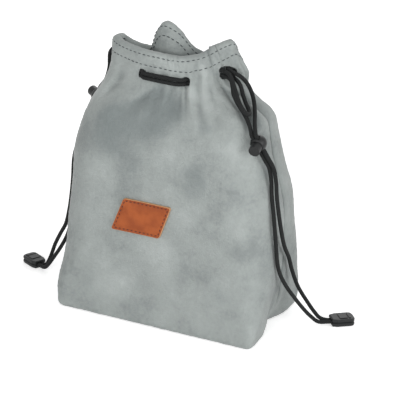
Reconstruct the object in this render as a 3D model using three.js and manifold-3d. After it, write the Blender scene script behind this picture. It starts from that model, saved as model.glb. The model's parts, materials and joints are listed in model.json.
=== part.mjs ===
// Drawstring lens pouch: padded plush bag, two cords in a channel, two cord locks, two cord ends.
// Millimetres, +Z up, the bag stands on Z = 0 and its front looks along -Y.
import * as THREE from "three";
import { mergeVertices } from "three/addons/utils/BufferGeometryUtils.js";
import Module from "manifold-3d";

const wasm = await Module();
wasm.setup();

// Bag size
const pouchWidth = 150;
const pouchDepth = 95;
const pouchHeight = 220;
const shoulderHeight = 150;
const rimHeight = 205;
const mouthWidth = 116;
const mouthDepth = 46;

// Wall build-up, from the plush outwards to the lining inwards
const plushThickness = 1.2;
const foamThickness = 3.9;
const liningThickness = 1.2;
const layerGap = 0.3;
const seamGap = 0.3;
const baseEdgeRadius = 4;
const innerEdgeRadius = 1;
const cornerPinch = 8;
const pinchWidth = 14;
const pinchHeight = 16;

// Hem and cord channel: the folded hem starts above the middle of the channel, the foam ends below it
const hemRounding = 3;
const channelDrop = 16.5;
const hemClearance = 4.5;
const liningHemGap = 0.9;
const foamClearance = 4;
const sideOpeningWidth = 16;
const sideOpeningHeight = 8.4;
const slitWidth = 7.6;
const slitHeight = 8;

// Cords
const cordDiameter = 3;
const cordSides = 8;
const cordGap = 0.3;
const channelGap = 0.68;
const channelSpacing = 3.8;

// Cord locks
const lockDiameter = 11.6;
const lockClearance = 0.3;
const lockTravel = 1;
const buttonDiameter = 7.9;
const buttonHeight = 10;
const buttonBar = 0.9;
const buttonRounding = 1.6;
const lockFloor = 1.1;
const springPocketDiameter = 5;
const springWire = 0.4;
const springTurns = 2;

// Cord ends
const endLength = 17.5;
const endWidth = 12;
const endMouthWidth = 9.6;
const endHeight = 6;
const endEdge = 0.6;
const endGripDepth = 8;
const endPanelRise = 0.5;
const endPanelInset = 2;
const endRidgeLength = 1.6;
const endPinDiameter = 2;
const endPinLength = 1.5;

// Label patch
const patchWidth = 38.5;
const patchHeight = 26;
const patchThickness = 1.5;
const patchCorner = 2.2;
const patchGap = 0.6;
const patchSlantShare = 0.35;
const patchCentreHeight = 83.4;
const patchCentreShare = 0.222;

const gatherHeight = rimHeight - shoulderHeight;
const foamDepth = plushThickness + layerGap;
const liningDepth = foamDepth + foamThickness + layerGap;
const wallThickness = liningDepth + liningThickness;

// Section of the bag by height: height, half width, half depth, corner radius, lean right and lean back
const sectionShares = [
  [0, 1.045, 1, 0.11, -0.012, 0],
  [0.07, 1.08, 0.98, 0.17, -0.008, 0],
  [0.18, 1.095, 0.92, 0.42, 0, 0],
  [0.34, 1.09, 0.885, 0.59, 0, 0],
  [0.455, 1.07, 0.875, 0.63, -0.005, -0.01],
  [0.57, 1.015, 0.835, 0.65, -0.04, -0.04],
  [0.665, 0.955, 0.76, 0.63, -0.03, -0.06],
  [0.755, 0.87, 0.65, 0.55, 0, -0.07],
  [0.845, 0.77, 0.46, 0.38, -0.04, -0.1],
  [0.935, 0.64, 0.295, 0.25, -0.125, -0.125],
];

// Mouth outline from the left seam round the front: across the mouth width and depth, then the heights of the
// rim and of the cord channel. The channel runs level below the standing fold at the back
const mouthShares = [
  [-0.455, 0.05, 0.927, 0.852],
  [-0.476, -0.184, 0.93, 0.855],
  [-0.4, -0.359, 0.925, 0.85],
  [-0.299, -0.45, 0.9195, 0.8445],
  [-0.194, -0.5, 0.916, 0.841],
  [-0.112, -0.5, 0.914, 0.839],
  [-0.03, -0.467, 0.909, 0.834],
  [0.039, -0.413, 0.909, 0.834],
  [0.095, -0.37, 0.916, 0.841],
  [0.142, -0.348, 0.925, 0.85],
  [0.181, -0.304, 0.934, 0.858],
  [0.207, -0.261, 0.943, 0.865],
  [0.224, -0.191, 0.948, 0.868],
  [0.263, -0.076, 0.957, 0.866],
  [0.301, 0.04, 0.962, 0.857],
  [0.306, 0.18, 0.935, 0.846],
  [0.257, 0.32, 0.905, 0.835],
  [0.155, 0.345, 0.886, 0.826],
  [0.026, 0.141, 0.914, 0.823],
  [-0.069, 0, 0.984, 0.825],
  [-0.142, 0, 0.993, 0.827],
  [-0.216, 0.098, 0.909, 0.825],
  [-0.319, 0.152, 0.898, 0.825],
  [-0.385, 0.118, 0.908, 0.833],
];

// Main folds of the padded wall: share and height of the deep end, of the end where the fold dies out, then
// its depth and its breadth. Below zero it is a ridge
const foldTable = [
  [0.216, 178, 0.131, 150, 1.8, 6],
  [0.262, 180, 0.268, 150, 2.2, 5.5],
  [0.43, 178, 0.375, 145, -1.3, 6],
  [0.462, 180, 0.405, 148, 2.5, 6],
  [0.5, 178, 0.525, 145, 2, 6],
  [0.458, 152, 0.519, 126, 1.8, 6],
  [0.472, 14, 0.488, 60, 2, 7],
  [0.028, 14, 0.012, 60, 1.8, 7],
  [0.528, 14, 0.512, 60, 1.8, 7],
  [0.972, 14, 0.988, 60, 1.8, 7],
  [0.575, 178, 0.585, 125, 1.8, 7],
  [0.64, 178, 0.625, 120, 1.6, 7],
  [0.72, 178, 0.715, 115, 2, 7],
  [0.79, 178, 0.8, 110, 2, 7],
  [0.86, 178, 0.87, 120, 1.6, 7],
];

// How a fold sets in and fades along its length, how all folds end below the channel, and the bag's girth,
// which narrows from the body to the gathered neck
const foldSetInShare = 0.2;
const foldFadeShare = 0.15;
const foldTopRise = -4;
const foldTopRun = 12;
const bodyGirth = 485;
const neckGirth = 300;
const girthHeight = 90;
const girthRun = 95;

// Where the gathered mouth starts, ends and draws in, as shares of the way from shoulder to rim
const gatherStartShare = 0.12;
const gatherLengthShare = 0.62;
const flareShare = 0.12;
const flareLengthShare = 0.28;
const mouthCentreShares = [-0.078, -0.13];
const flareShiftShare = 0.031;

// Seams: share of the way round at which each half starts
const leftSeamShare = 0;
const rightSeamShare = 0.5;
const cornerShare = 0.4;
const columnsBeforeCorner = 6;
const columnsAfterCorner = 9;
const leftSlitShare = 0.158;
const rightSlitShare = 0.288;
const probeShare = 0.012;

// Smaller shares and counts
const cornerLimitShare = 0.97;
const floorSeamShare = 0.76;
const wallHeightShares = [0.13, 0.32, 0.55, 0.75, 0.87, 0.967];
const gatherRiseShares = [-0.54, -0.355, -0.21];
const weldDistance = 1e-4;
const cutOverrun = 2;
const openingColumns = 8;

// Cord in the channel, against the lining. Where it turns out or passes a slit: distance along the wall and
// depth, in cord diameters
const channelDepth = liningDepth - channelGap - cordDiameter / 2;
const turnShares = [[3.2, 1.15], [2.3, 1.13], [1.6, 0.85], [1, 0.35], [0.72, -0.35], [0.67, -1.1]];
const turnOnWallCount = 3;
const slitShares = [
  [-1.9, 1.15], [-1.1, 1.08], [-0.45, 0.6], [0, 0.06], [0.45, -0.46], [1.1, -0.84], [1.9, -0.92],
];
const runMarginShare = 0.006;
const swapShare = 0.018;

// Cord lock and cord end details
const slotRiseShare = 0.27;
const ballSteps = 7;
const crownSteps = 3;
const lockSegments = 16;
const springSides = 5;
const springStepsPerTurn = 10;
const lockRuns = [-7, 7, 21];
const endCornerShare = 0.28;
const endTaperShare = 0.22;
const endPinShare = 0.72;
const endPinSpreadShare = 0.28;
const endPinRoot = 0.6;
const endLeadIn = 2.5;
const gripSides = 12;
const pinSides = 12;

// Where the locks and cord ends sit, and the cords' routes between them, point by point
const rightLockCentre = new THREE.Vector3(68.66, -29.29, 151);
const rightLockAlong = new THREE.Vector3(0.377, 0.315, -0.871);
const rightLockOut = new THREE.Vector3(0.056, -0.946, -0.318);
const leftLockCentre = new THREE.Vector3(-78.8, 16, 147);
const leftLockAlong = new THREE.Vector3(-0.31, -0.2, -0.929);
const leftLockOut = new THREE.Vector3(-0.829, 0.536, 0.161);
const rightEndMouth = new THREE.Vector3(113.3, 21.9, 3);
const rightEndAlong = new THREE.Vector3(0.79, 0.61, 0);
const leftEndMouth = new THREE.Vector3(-122.1, 5.3, 3);
const leftEndAlong = new THREE.Vector3(-0.889, 0.457, 0);
const rightFrontToLock = [
  [41, -15.9, 187.9], [42.7, -17.3, 184.4], [44, -18.3, 180], [46.8, -19.5, 175.6], [51.3, -21.5, 171.2],
  [56.5, -24.2, 166.8], [61.2, -27.6, 161.5],
];
const rightRearToLock = [
  [42.6, -12.4, 192.6], [46.2, -11.4, 190.6], [49.2, -8.6, 186.5], [51.6, -6.2, 181], [54.4, -6.6, 174.8],
  [58.9, -14.2, 169.2], [63.2, -24, 163.6],
];
const rightFrontToEnd = [
  [76.7, -21, 121.7], [77.8, -21.6, 112], [81.3, -24, 96], [83.4, -22.4, 75], [84.9, -19, 56.1],
  [87, -9.6, 40.4], [91.6, 0, 26.3], [96.1, 10.5, 12.9], [100, 15, 6.4], [105.5, 16.6, 2.6],
];
const rightRearToEnd = [
  [80.3, -21, 121.7], [81.4, -21.2, 112], [84.5, -21.8, 96], [85.9, -13.4, 73], [85.6, 0.1, 56.6],
  [86, 7, 44.3], [89.3, 13.2, 29], [95.8, 18.2, 15.5], [100.6, 20.4, 8], [105.2, 20.6, 4],
];
const leftFrontToLock = [
  [-63.2, 7.9, 188.4], [-65.9, 8.9, 184.8], [-66.6, 9.6, 179.5], [-67, 10.4, 174], [-68.6, 11.6, 168],
  [-72, 13.8, 161],
];
const leftRearToLock = [
  [-61.4, 10.6, 184.3], [-63.2, 12.2, 180.5], [-63.6, 13, 175.5], [-64.6, 14.2, 169.5], [-67.6, 16, 162.8],
  [-71.7, 17.8, 157.5],
];
const leftFrontToEnd = [
  [-88.4, 5, 116], [-90, -0.2, 102], [-90.2, -1.9, 84.3], [-90, -4.9, 70.3], [-91, -5.9, 60],
  [-94.4, -4.7, 47.4], [-99.8, -2.8, 37.7], [-106, 0, 26.3], [-110.5, 2.2, 15.6], [-113.6, 3.6, 9],
  [-116.4, 4.8, 4.7],
];
const leftRearToEnd = [
  [-87.4, 9.4, 115], [-90.4, 3.6, 102], [-90.6, 2.3, 84.3], [-90, -0.8, 70.3], [-90.4, -1.7, 58.3],
  [-92, -1.6, 46.4], [-94.9, -1.4, 36.5], [-100, -1.6, 25.9], [-106.8, -2, 14.6], [-111.2, -1.6, 8],
  [-114.9, -0.4, 4.2],
];
const leftFrontEndSign = -1;
const slackLoop = [
  [39.7, -16.2, 192.3], [43, -18.9, 189.4], [46.9, -22.5, 184.6], [51, -27, 180.2], [54.9, -30.1, 176],
  [58.4, -29.9, 172], [59.4, -25.4, 169.7], [57, -20.4, 170.6], [53.4, -17, 173.6], [50.2, -14.6, 177.4],
  [48.4, -13.6, 181.4], [46.9, -13.4, 185], [44.2, -12.9, 187.9],
];

function smoothStep(value) {
  const t = Math.min(Math.max(value, 0), 1);
  return t * t * (3 - 2 * t);
}

// One value of the section table at a height, eased between rows
function sectionValue(shareOfHeight, column) {
  const rows = sectionShares;
  const last = rows.length - 1;
  const slopeAt = (i) => {
    const low = Math.max(i - 1, 0);
    const high = Math.min(i + 1, last);
    const left = Math.max(rows[i][0] - rows[low][0], Number.EPSILON);
    const right = Math.max(rows[high][0] - rows[i][0], Number.EPSILON);
    const before = (rows[i][column] - rows[low][column]) / left;
    const after = (rows[high][column] - rows[i][column]) / right;
    if (i === 0) return after;
    if (i === last) return before;
    return (before * right + after * left) / (left + right);
  };
  let i = 0;
  while (i < last - 1 && rows[i + 1][0] < shareOfHeight) i += 1;
  const span = rows[i + 1][0] - rows[i][0];
  const t = Math.min(Math.max((shareOfHeight - rows[i][0]) / span, 0), 1);
  const t2 = t * t;
  const t3 = t2 * t;
  return (2 * t3 - 3 * t2 + 1) * rows[i][column]
    + (t3 - 2 * t2 + t) * span * slopeAt(i)
    + (3 * t2 - 2 * t3) * rows[i + 1][column]
    + (t3 - t2) * span * slopeAt(i + 1);
}

// Point of a rounded rectangle, each quarter run at an even pace from its side seam
function roundedOutline(share, halfWidth, halfDepth, corner) {
  const turn = ((share % 1) + 1) % 1;
  const quarter = Math.min(Math.floor(turn * 4), 3);
  const within = turn * 4 - quarter;
  const pace = quarter % 2 === 0 ? within : 1 - within;
  const sideRun = halfDepth - corner;
  const arcRun = Math.PI * corner / 2;
  const run = pace * (sideRun + arcRun + halfWidth - corner);
  let x = halfWidth;
  let y = run;
  if (run > sideRun + arcRun) {
    x = halfWidth - corner - (run - sideRun - arcRun);
    y = halfDepth;
  } else if (run > sideRun) {
    const angle = (run - sideRun) / corner;
    x = halfWidth - corner + corner * Math.cos(angle);
    y = sideRun + corner * Math.sin(angle);
  }
  const signX = quarter === 0 || quarter === 3 ? -1 : 1;
  const signY = quarter < 2 ? -1 : 1;
  return new THREE.Vector2(signX * x, signY * y);
}

// Mouth outline: a closed smooth curve through the table
function mouthPoint(share) {
  const count = mouthShares.length;
  const place = (((share % 1) + 1) % 1) * count;
  const i = Math.floor(place);
  const t = place - i;
  const row = (offset) => mouthShares[(i + offset + count) % count];
  const blend = (column) => {
    const [a, b, c, d] = [row(-1)[column], row(0)[column], row(1)[column], row(2)[column]];
    const squared = (2 * a - 5 * b + 4 * c - d) * t * t;
    const cubed = (3 * b - a - 3 * c + d) * t * t * t;
    return (2 * b + (c - a) * t + squared + cubed) / 2;
  };
  const point = new THREE.Vector3(blend(0) * mouthWidth, blend(1) * mouthDepth, blend(2) * pouchHeight);
  return { point, rim: blend(2) * pouchHeight, channel: blend(3) * pouchHeight };
}

// Outer face of the bag at a share of the way round and a height
function surfacePoint(share, height) {
  const { point: mouth, channel } = mouthPoint(share);
  const gatherTop = channel + channelDrop;
  const gather = height <= shoulderHeight ? 0 : (height - shoulderHeight) / (gatherTop - shoulderHeight);
  const gatheredHeight = shoulderHeight + Math.min(gather, 1) * gatherHeight;
  const sectionHeight = height <= shoulderHeight ? height : gatheredHeight;
  const value = (column) => sectionValue(sectionHeight / pouchHeight, column);
  const halfWidth = value(1) * pouchWidth / 2;
  const halfDepth = value(2) * pouchDepth / 2;
  const corner = Math.min(value(3) * pouchDepth / 2, halfDepth * cornerLimitShare);
  const body = roundedOutline(share, halfWidth, halfDepth, corner);
  body.x += value(4) * pouchWidth / 2;
  body.y += value(5) * pouchDepth / 2;
  const pinch = Math.exp(-((body.y / pinchWidth) ** 2) - (height / pinchHeight) ** 2);
  body.x -= Math.sign(body.x) * cornerPinch * pinch;
  const flare = Math.min(1, Math.max(0, (1 - gather) / flareLengthShare));
  const centreX = mouthCentreShares[0] * mouthWidth;
  const centreY = mouthCentreShares[1] * mouthDepth;
  const spread = 1 + flareShare * flare;
  const drawnX = centreX + (mouth.x - centreX) * spread + flareShiftShare * mouthWidth * flare;
  const drawnY = centreY + (mouth.y - centreY) * spread;
  const weight = smoothStep((gather - gatherStartShare) / gatherLengthShare);
  return new THREE.Vector3(
    body.x * (1 - weight) + drawnX * weight,
    body.y * (1 - weight) + drawnY * weight,
    height,
  );
}

// Unit directions along the wall and into the bag, both level
function wallDirections(share, height) {
  const before = surfacePoint(share - probeShare, height);
  const along = surfacePoint(share + probeShare, height).sub(before).setZ(0).normalize();
  return { along, inward: new THREE.Vector3(-along.y, along.x, 0) };
}

// Signed share of a turn from one place to another, the short way round
function turnBetween(share, other) {
  return ((((share - other + 0.5) % 1) + 1) % 1) - 0.5;
}

// How far the folds sink the wall inwards
function foldDepth(share, height) {
  const top = mouthPoint(share).channel + foldTopRise;
  const below = smoothStep((top - height) / foldTopRun);
  let total = 0;
  for (const [fromShare, fromHeight, toShare, toHeight, depth, breadth] of foldTable) {
    const mid = (fromHeight + toHeight) / 2;
    const girth = bodyGirth + (neckGirth - bodyGirth) * smoothStep((mid - girthHeight) / girthRun);
    const wayX = turnBetween(toShare, fromShare) * girth;
    const wayY = toHeight - fromHeight;
    const x = turnBetween(share, fromShare) * girth;
    const y = height - fromHeight;
    const length = Math.hypot(wayX, wayY);
    const run = (x * wayX + y * wayY) / length ** 2;
    const off = (x * wayY - y * wayX) / length / breadth;
    const rise = smoothStep((run + foldFadeShare) / foldSetInShare);
    const fall = 1 - smoothStep((run - foldFadeShare) / (1 - foldFadeShare));
    total += depth * rise * fall * Math.exp(-(off ** 2));
  }
  return total * below;
}

// Place in or on the wall: depth counts inwards from the plush face, shift counts along the wall
function wallPoint(share, height, depth, shift = 0) {
  const { along, inward } = wallDirections(share, height);
  return surfacePoint(share, height)
    .addScaledVector(inward, depth + foldDepth(share, height))
    .addScaledVector(along, shift);
}

// Columns of one half, from its first seam to its second, closer together at the corners
const quarterShares = [];
for (let i = 0; i < columnsBeforeCorner; i += 1) {
  quarterShares.push(cornerShare * i / columnsBeforeCorner);
}
for (let i = 0; i < columnsAfterCorner; i += 1) {
  quarterShares.push(cornerShare + (1 - cornerShare) * i / columnsAfterCorner);
}
const columnShares = [
  ...quarterShares.map((share) => share / 4),
  0.25,
  ...quarterShares.toReversed().map((share) => 0.5 - share / 4),
];

// Place on a layer of one half. A level is a share of the floor, an angle round the base edge, a height,
// a rise above the channel, the middle between such a rise and the rim, or a drop below the rim
function layerPoint(halfStart, column, level, depth) {
  const last = columnShares.length - 1;
  const share = halfStart + columnShares[column];
  const seamSide = column === 0 ? 1 : column === last ? -1 : 0;
  const shift = seamSide * seamGap / 2;
  if (level.height) return wallPoint(share, level.height, depth, shift);
  const { rim, channel } = mouthPoint(share);
  const middle = (channel + level.middleRise + rim) / 2;
  if (level.rise !== undefined) return wallPoint(share, channel + level.rise, depth, shift);
  if (level.middleRise !== undefined) return wallPoint(share, middle, depth, shift);
  if (level.drop !== undefined) return wallPoint(share, rim - level.drop, depth, shift);
  const radius = Math.max(baseEdgeRadius - depth, innerEdgeRadius);
  const angle = level.angle ?? Math.PI / 2;
  const edge = wallPoint(share, baseEdgeRadius, depth + radius * (1 - Math.cos(angle)), shift);
  edge.z = depth + radius * (1 - Math.sin(angle));
  if (level.floorShare === undefined) return edge;
  const toBack = halfStart === rightSeamShare ? 1 : -1;
  const across = (columnShares[column] * 4 - 1) * floorSeamShare * pouchWidth / 2;
  return new THREE.Vector3(-toBack * across, toBack * seamGap / 2, depth).lerp(edge, level.floorShare);
}

// Closed solid from a grid with an outer face and an inner face
function thickSheet(columns, rows, place) {
  const points = [];
  for (const face of [0, 1]) {
    for (let row = 0; row <= rows; row += 1) {
      for (let column = 0; column <= columns; column += 1) {
        points.push(...place(column, row, face).toArray());
      }
    }
  }
  const at = (column, row, face) => (face * (rows + 1) + row) * (columns + 1) + column;
  const triangles = [];
  const quad = (a, b, c, d) => triangles.push(a, b, c, a, c, d);
  for (let row = 0; row < rows; row += 1) {
    for (let column = 0; column < columns; column += 1) {
      const [right, above] = [column + 1, row + 1];
      quad(at(column, row, 0), at(right, row, 0), at(right, above, 0), at(column, above, 0));
      quad(at(column, row, 1), at(column, above, 1), at(right, above, 1), at(right, row, 1));
    }
    quad(at(0, row, 0), at(0, row + 1, 0), at(0, row + 1, 1), at(0, row, 1));
    quad(at(columns, row, 0), at(columns, row, 1), at(columns, row + 1, 1), at(columns, row + 1, 0));
  }
  for (let column = 0; column < columns; column += 1) {
    const right = column + 1;
    quad(at(column, 0, 0), at(column, 0, 1), at(right, 0, 1), at(right, 0, 0));
    quad(at(column, rows, 0), at(right, rows, 0), at(right, rows, 1), at(column, rows, 1));
  }
  const geometry = new THREE.BufferGeometry();
  geometry.setAttribute("position", new THREE.Float32BufferAttribute(points, 3));
  geometry.setIndex(triangles);
  return geometry;
}

function toSolid(geometry) {
  const bare = geometry.clone();
  bare.deleteAttribute("normal");
  bare.deleteAttribute("uv");
  const merged = mergeVertices(bare, weldDistance);
  const mesh = new wasm.Mesh({
    numProp: 3,
    vertProperties: new Float32Array(merged.attributes.position.array),
    triVerts: new Uint32Array(merged.index.array),
  });
  return new wasm.Manifold(mesh);
}

function toGeometry(solid) {
  const mesh = solid.getMesh();
  const geometry = new THREE.BufferGeometry();
  geometry.setAttribute("position", new THREE.BufferAttribute(new Float32Array(mesh.vertProperties), 3));
  geometry.setIndex(new THREE.BufferAttribute(new Uint32Array(mesh.triVerts), 1));
  return geometry;
}

function cut(geometry, ...cutters) {
  return toGeometry(cutters.reduce((solid, cutter) => solid.subtract(toSolid(cutter)), toSolid(geometry)));
}

function join(geometry, ...others) {
  return toGeometry(others.reduce((solid, other) => solid.add(toSolid(other)), toSolid(geometry)));
}

const model = new THREE.Group();

function addMesh(parent, name, geometry, material) {
  const mesh = new THREE.Mesh(geometry, material);
  mesh.name = name;
  parent.add(mesh);
  return mesh;
}

const plush = new THREE.MeshStandardMaterial({ color: 0x9ba3a2, roughness: 0.95, metalness: 0 });
const foam = new THREE.MeshStandardMaterial({ color: 0xd8d8d2, roughness: 0.95, metalness: 0 });
const lining = new THREE.MeshStandardMaterial({ color: 0x8d9493, roughness: 0.9, metalness: 0 });
const cordCloth = new THREE.MeshStandardMaterial({ color: 0x232626, roughness: 0.8, metalness: 0 });
const lockPlastic = new THREE.MeshStandardMaterial({ color: 0x2a2d2d, roughness: 0.35, metalness: 0 });
const endPlastic = new THREE.MeshStandardMaterial({ color: 0x3c4141, roughness: 0.5, metalness: 0 });
const springSteel = new THREE.MeshStandardMaterial({ color: 0xb8bcc0, roughness: 0.3, metalness: 1 });
const leather = new THREE.MeshStandardMaterial({ color: 0xb86230, roughness: 0.6, metalness: 0 });

// Levels that the layers share, from the middle of the floor to the rim
const wallLevels = [
  { floorShare: 0 },
  { angle: Math.PI / 2 },
  { angle: Math.PI / 4 },
  { angle: 0 },
  ...wallHeightShares.map((share) => ({ height: share * shoulderHeight })),
  ...gatherRiseShares.map((share) => ({ rise: share * gatherHeight })),
  { rise: -foamClearance },
];
const channelLevel = { rise: 0 };
const hemLevels = [channelLevel, { rise: hemClearance - liningHemGap }];

// Plush rows: outer level and depth, inner level and depth. The hem is folded to the full wall thickness
const hemCrownShare = 0.3;
const hemTop = { drop: 0 };
const hemShoulder = { drop: hemRounding };
const hemCrown = { drop: hemCrownShare * hemRounding };
const plushRows = [
  ...wallLevels.map((level) => [level, 0, level, plushThickness]),
  [channelLevel, 0, channelLevel, plushThickness],
  [{ rise: hemClearance }, 0, { rise: hemClearance }, plushThickness],
  [{ rise: hemClearance + plushThickness }, 0, { rise: hemClearance }, wallThickness],
  [{ middleRise: hemClearance }, 0, { middleRise: hemClearance }, wallThickness],
  [hemShoulder, 0, hemShoulder, wallThickness],
  [hemCrown, hemCrown.drop, hemCrown, wallThickness - hemCrown.drop],
  [hemTop, hemRounding, hemTop, wallThickness - hemRounding],
];
const foamRows = wallLevels.map((level) => [level, foamDepth, level, foamDepth + foamThickness]);
const liningRows = [...wallLevels, ...hemLevels].map((level) => [level, liningDepth, level, wallThickness]);

function layerPanel(halfStart, rows) {
  return thickSheet(columnShares.length - 1, rows.length - 1, (column, row, face) => (
    layerPoint(halfStart, column, rows[row][face * 2], rows[row][face * 2 + 1])
  ));
}

// Millimetres of wall for one whole turn of share, at the height of the channel
function wallPace(share) {
  const height = mouthPoint(share).channel;
  const after = surfacePoint(share + probeShare, height);
  return after.distanceTo(surfacePoint(share - probeShare, height)) / (2 * probeShare);
}

// Block that cuts an opening for the cords through the plush only
function openingCutter(share, width, height) {
  const halfShare = width / 2 / wallPace(share);
  const depths = [-cutOverrun, plushThickness + cutOverrun / 2];
  const rises = [-height / 2, Math.min(height / 2, hemClearance - layerGap / 2)];
  return thickSheet(openingColumns, 1, (column, row, face) => {
    const place = share + (2 * column / openingColumns - 1) * halfShare;
    return wallPoint(place, mouthPoint(place).channel + rises[row], depths[face]);
  });
}

const frontCutters = [
  openingCutter(leftSlitShare, slitWidth, slitHeight),
  openingCutter(rightSlitShare, slitWidth, slitHeight),
];
const sideCutters = [
  openingCutter(leftSeamShare, sideOpeningWidth, sideOpeningHeight),
  openingCutter(rightSeamShare, sideOpeningWidth, sideOpeningHeight),
];
const frontPlush = cut(layerPanel(leftSeamShare, plushRows), ...frontCutters, ...sideCutters);
const backPlush = cut(layerPanel(rightSeamShare, plushRows), ...sideCutters);
addMesh(model, "outer_front_panel", frontPlush, plush);
addMesh(model, "outer_back_panel", backPlush, plush);
addMesh(model, "padding_front", layerPanel(leftSeamShare, foamRows), foam);
addMesh(model, "padding_back", layerPanel(rightSeamShare, foamRows), foam);
addMesh(model, "lining_front", layerPanel(leftSeamShare, liningRows), lining);
addMesh(model, "lining_back", layerPanel(rightSeamShare, liningRows), lining);

// Outline with rounded corners
function roundedShape(corners, radius) {
  const shape = new THREE.Shape();
  corners.forEach((corner, i) => {
    const before = corners[(i + corners.length - 1) % corners.length];
    const after = corners[(i + 1) % corners.length];
    const start = corner.clone().add(before.clone().sub(corner).setLength(radius));
    const end = corner.clone().add(after.clone().sub(corner).setLength(radius));
    if (i === 0) shape.moveTo(start.x, start.y);
    else shape.lineTo(start.x, start.y);
    shape.quadraticCurveTo(corner.x, corner.y, end.x, end.y);
  });
  shape.closePath();
  return shape;
}

// Leather label patch, laid on the front wall
const patchTop = surfacePoint(patchCentreShare, patchCentreHeight + patchHeight / 2);
const patchBottom = surfacePoint(patchCentreShare, patchCentreHeight - patchHeight / 2);
const patchCentre = patchTop.clone().lerp(patchBottom, 0.5);
const patchAlong = wallDirections(patchCentreShare, patchCentreHeight).along;
const patchUp = patchTop.clone().sub(patchBottom).normalize();
const patchOut = patchAlong.clone().cross(patchUp).normalize();
const patchSlant = patchSlantShare * patchHeight / 2;
const patchCorners = [
  new THREE.Vector2(-patchWidth / 2 - patchSlant, -patchHeight / 2),
  new THREE.Vector2(patchWidth / 2 - patchSlant, -patchHeight / 2),
  new THREE.Vector2(patchWidth / 2 + patchSlant, patchHeight / 2),
  new THREE.Vector2(-patchWidth / 2 + patchSlant, patchHeight / 2),
];
const patchSolid = new THREE.ExtrudeGeometry(roundedShape(patchCorners, patchCorner), {
  depth: patchThickness,
  bevelEnabled: false,
  curveSegments: 3,
});
const patch = addMesh(model, "label_patch", patchSolid, leather);
const patchTurn = new THREE.Matrix4().makeBasis(patchAlong, patchOut.clone().cross(patchAlong), patchOut);
patch.quaternion.setFromRotationMatrix(patchTurn);
patch.position.copy(patchCentre).addScaledVector(patchOut, patchGap);

// Round section of a cord or wire with flat sides
function sectionShape(diameter, sides) {
  const corners = [];
  for (let i = 0; i < sides; i += 1) {
    const angle = 2 * Math.PI * i / sides;
    corners.push(new THREE.Vector2(Math.cos(angle), Math.sin(angle)).multiplyScalar(diameter / 2));
  }
  return new THREE.Shape(corners);
}

// Smooth curve whose steps fall on its own points, closer together where the cord turns
class PointCurve extends THREE.CatmullRomCurve3 {
  getUtoTmapping(u) {
    return u;
  }
}

function strandTube(points) {
  return new THREE.ExtrudeGeometry(sectionShape(cordDiameter, cordSides), {
    steps: points.length - 1,
    extrudePath: new PointCurve(points, false, "centripetal"),
  });
}

// Cord in the channel at a share of the way round, above or below the middle of the channel
function channelPoint(share, rise, depth = channelDepth) {
  return wallPoint(share, mouthPoint(share).channel + rise, depth);
}

// Cord turning out of the channel at a seam, from the wall inwards to its free end outside
function turnOut(seamShare, side, rise) {
  return turnShares.map(([along, depth], i) => {
    const distance = side * along * cordDiameter;
    if (i < turnOnWallCount) {
      return channelPoint(seamShare + distance / wallPace(seamShare), rise, depth * cordDiameter);
    }
    return wallPoint(seamShare, mouthPoint(seamShare).channel + rise, depth * cordDiameter, distance);
  });
}

// Free end of the channel cord, and the start of the strand that goes on from it
function strandStart(seamShare, side, rise) {
  const turn = turnOut(seamShare, side, rise);
  const end = turn[turn.length - 1];
  const direction = end.clone().sub(turn[turn.length - 2]).normalize();
  return [cordGap, cordDiameter].map((distance) => end.clone().addScaledVector(direction, distance));
}

// Cord lying in the channel between two places, with a point at each column of the panels
function channelRun(fromShare, toShare, rise) {
  const halves = [leftSeamShare, rightSeamShare];
  const columns = halves.flatMap((start) => columnShares.map((share) => start + share));
  return columns
    .filter((share, i) => share !== columns[i - 1] && share > fromShare && share < toShare)
    .map((share) => channelPoint(share, rise));
}

// Cord passing through a slit: into the open for direction 1, back into the channel for direction -1
function slitPass(slitShare, direction, rise) {
  const rows = direction > 0 ? slitShares : slitShares.toReversed();
  const pace = direction * cordDiameter / wallPace(slitShare);
  return rows.map(([along, depth]) => channelPoint(slitShare + along * pace, rise, depth * cordDiameter));
}

// Share of the way round that a cord takes to turn out at a seam, or to dive to a slit
function turnReach(seamShare) {
  return turnShares[0][0] * cordDiameter / wallPace(seamShare) + runMarginShare;
}

function slitReach(slitShare) {
  return -slitShares[0][0] * cordDiameter / wallPace(slitShare) + runMarginShare;
}

// Cord along the front, outside between the two slits
function frontRun(fromShare, rise) {
  const turnShare = rightSeamShare - turnReach(rightSeamShare);
  return [
    ...channelRun(fromShare, leftSlitShare - slitReach(leftSlitShare), rise),
    ...slitPass(leftSlitShare, 1, rise),
    ...slitPass(rightSlitShare, -1, rise),
    ...channelRun(rightSlitShare + slitReach(rightSlitShare), turnShare, rise),
  ];
}

const upper = channelSpacing / 2;
const lower = -channelSpacing / 2;

// Right cord: in at the right seam, along the back, past the left seam, along the front and out again
const rightChannel = [
  ...turnOut(rightSeamShare, 1, upper).toReversed(),
  ...channelRun(rightSeamShare + turnReach(rightSeamShare), 1 - swapShare, upper),
  channelPoint(1, 0),
  channelPoint(1 + swapShare, lower),
  ...frontRun(leftSeamShare + swapShare, lower),
  ...turnOut(rightSeamShare, -1, lower),
];
addMesh(model, "drawstring_right_channel", strandTube(rightChannel), cordCloth);

// Left cord: its two halves in the channel, joined by the slack loop at the right seam
const leftFrontChannel = [
  ...turnOut(leftSeamShare, 1, upper).toReversed(),
  ...frontRun(leftSeamShare + turnReach(leftSeamShare), upper),
  ...turnOut(rightSeamShare, -1, upper),
];
const leftBackChannel = [
  ...turnOut(rightSeamShare, 1, lower).toReversed(),
  ...channelRun(rightSeamShare + turnReach(rightSeamShare), 1 - turnReach(leftSeamShare), lower),
  ...turnOut(1, -1, lower),
];
addMesh(model, "drawstring_left_channel_front", strandTube(leftFrontChannel), cordCloth);
addMesh(model, "drawstring_left_channel_back", strandTube(leftBackChannel), cordCloth);

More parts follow.
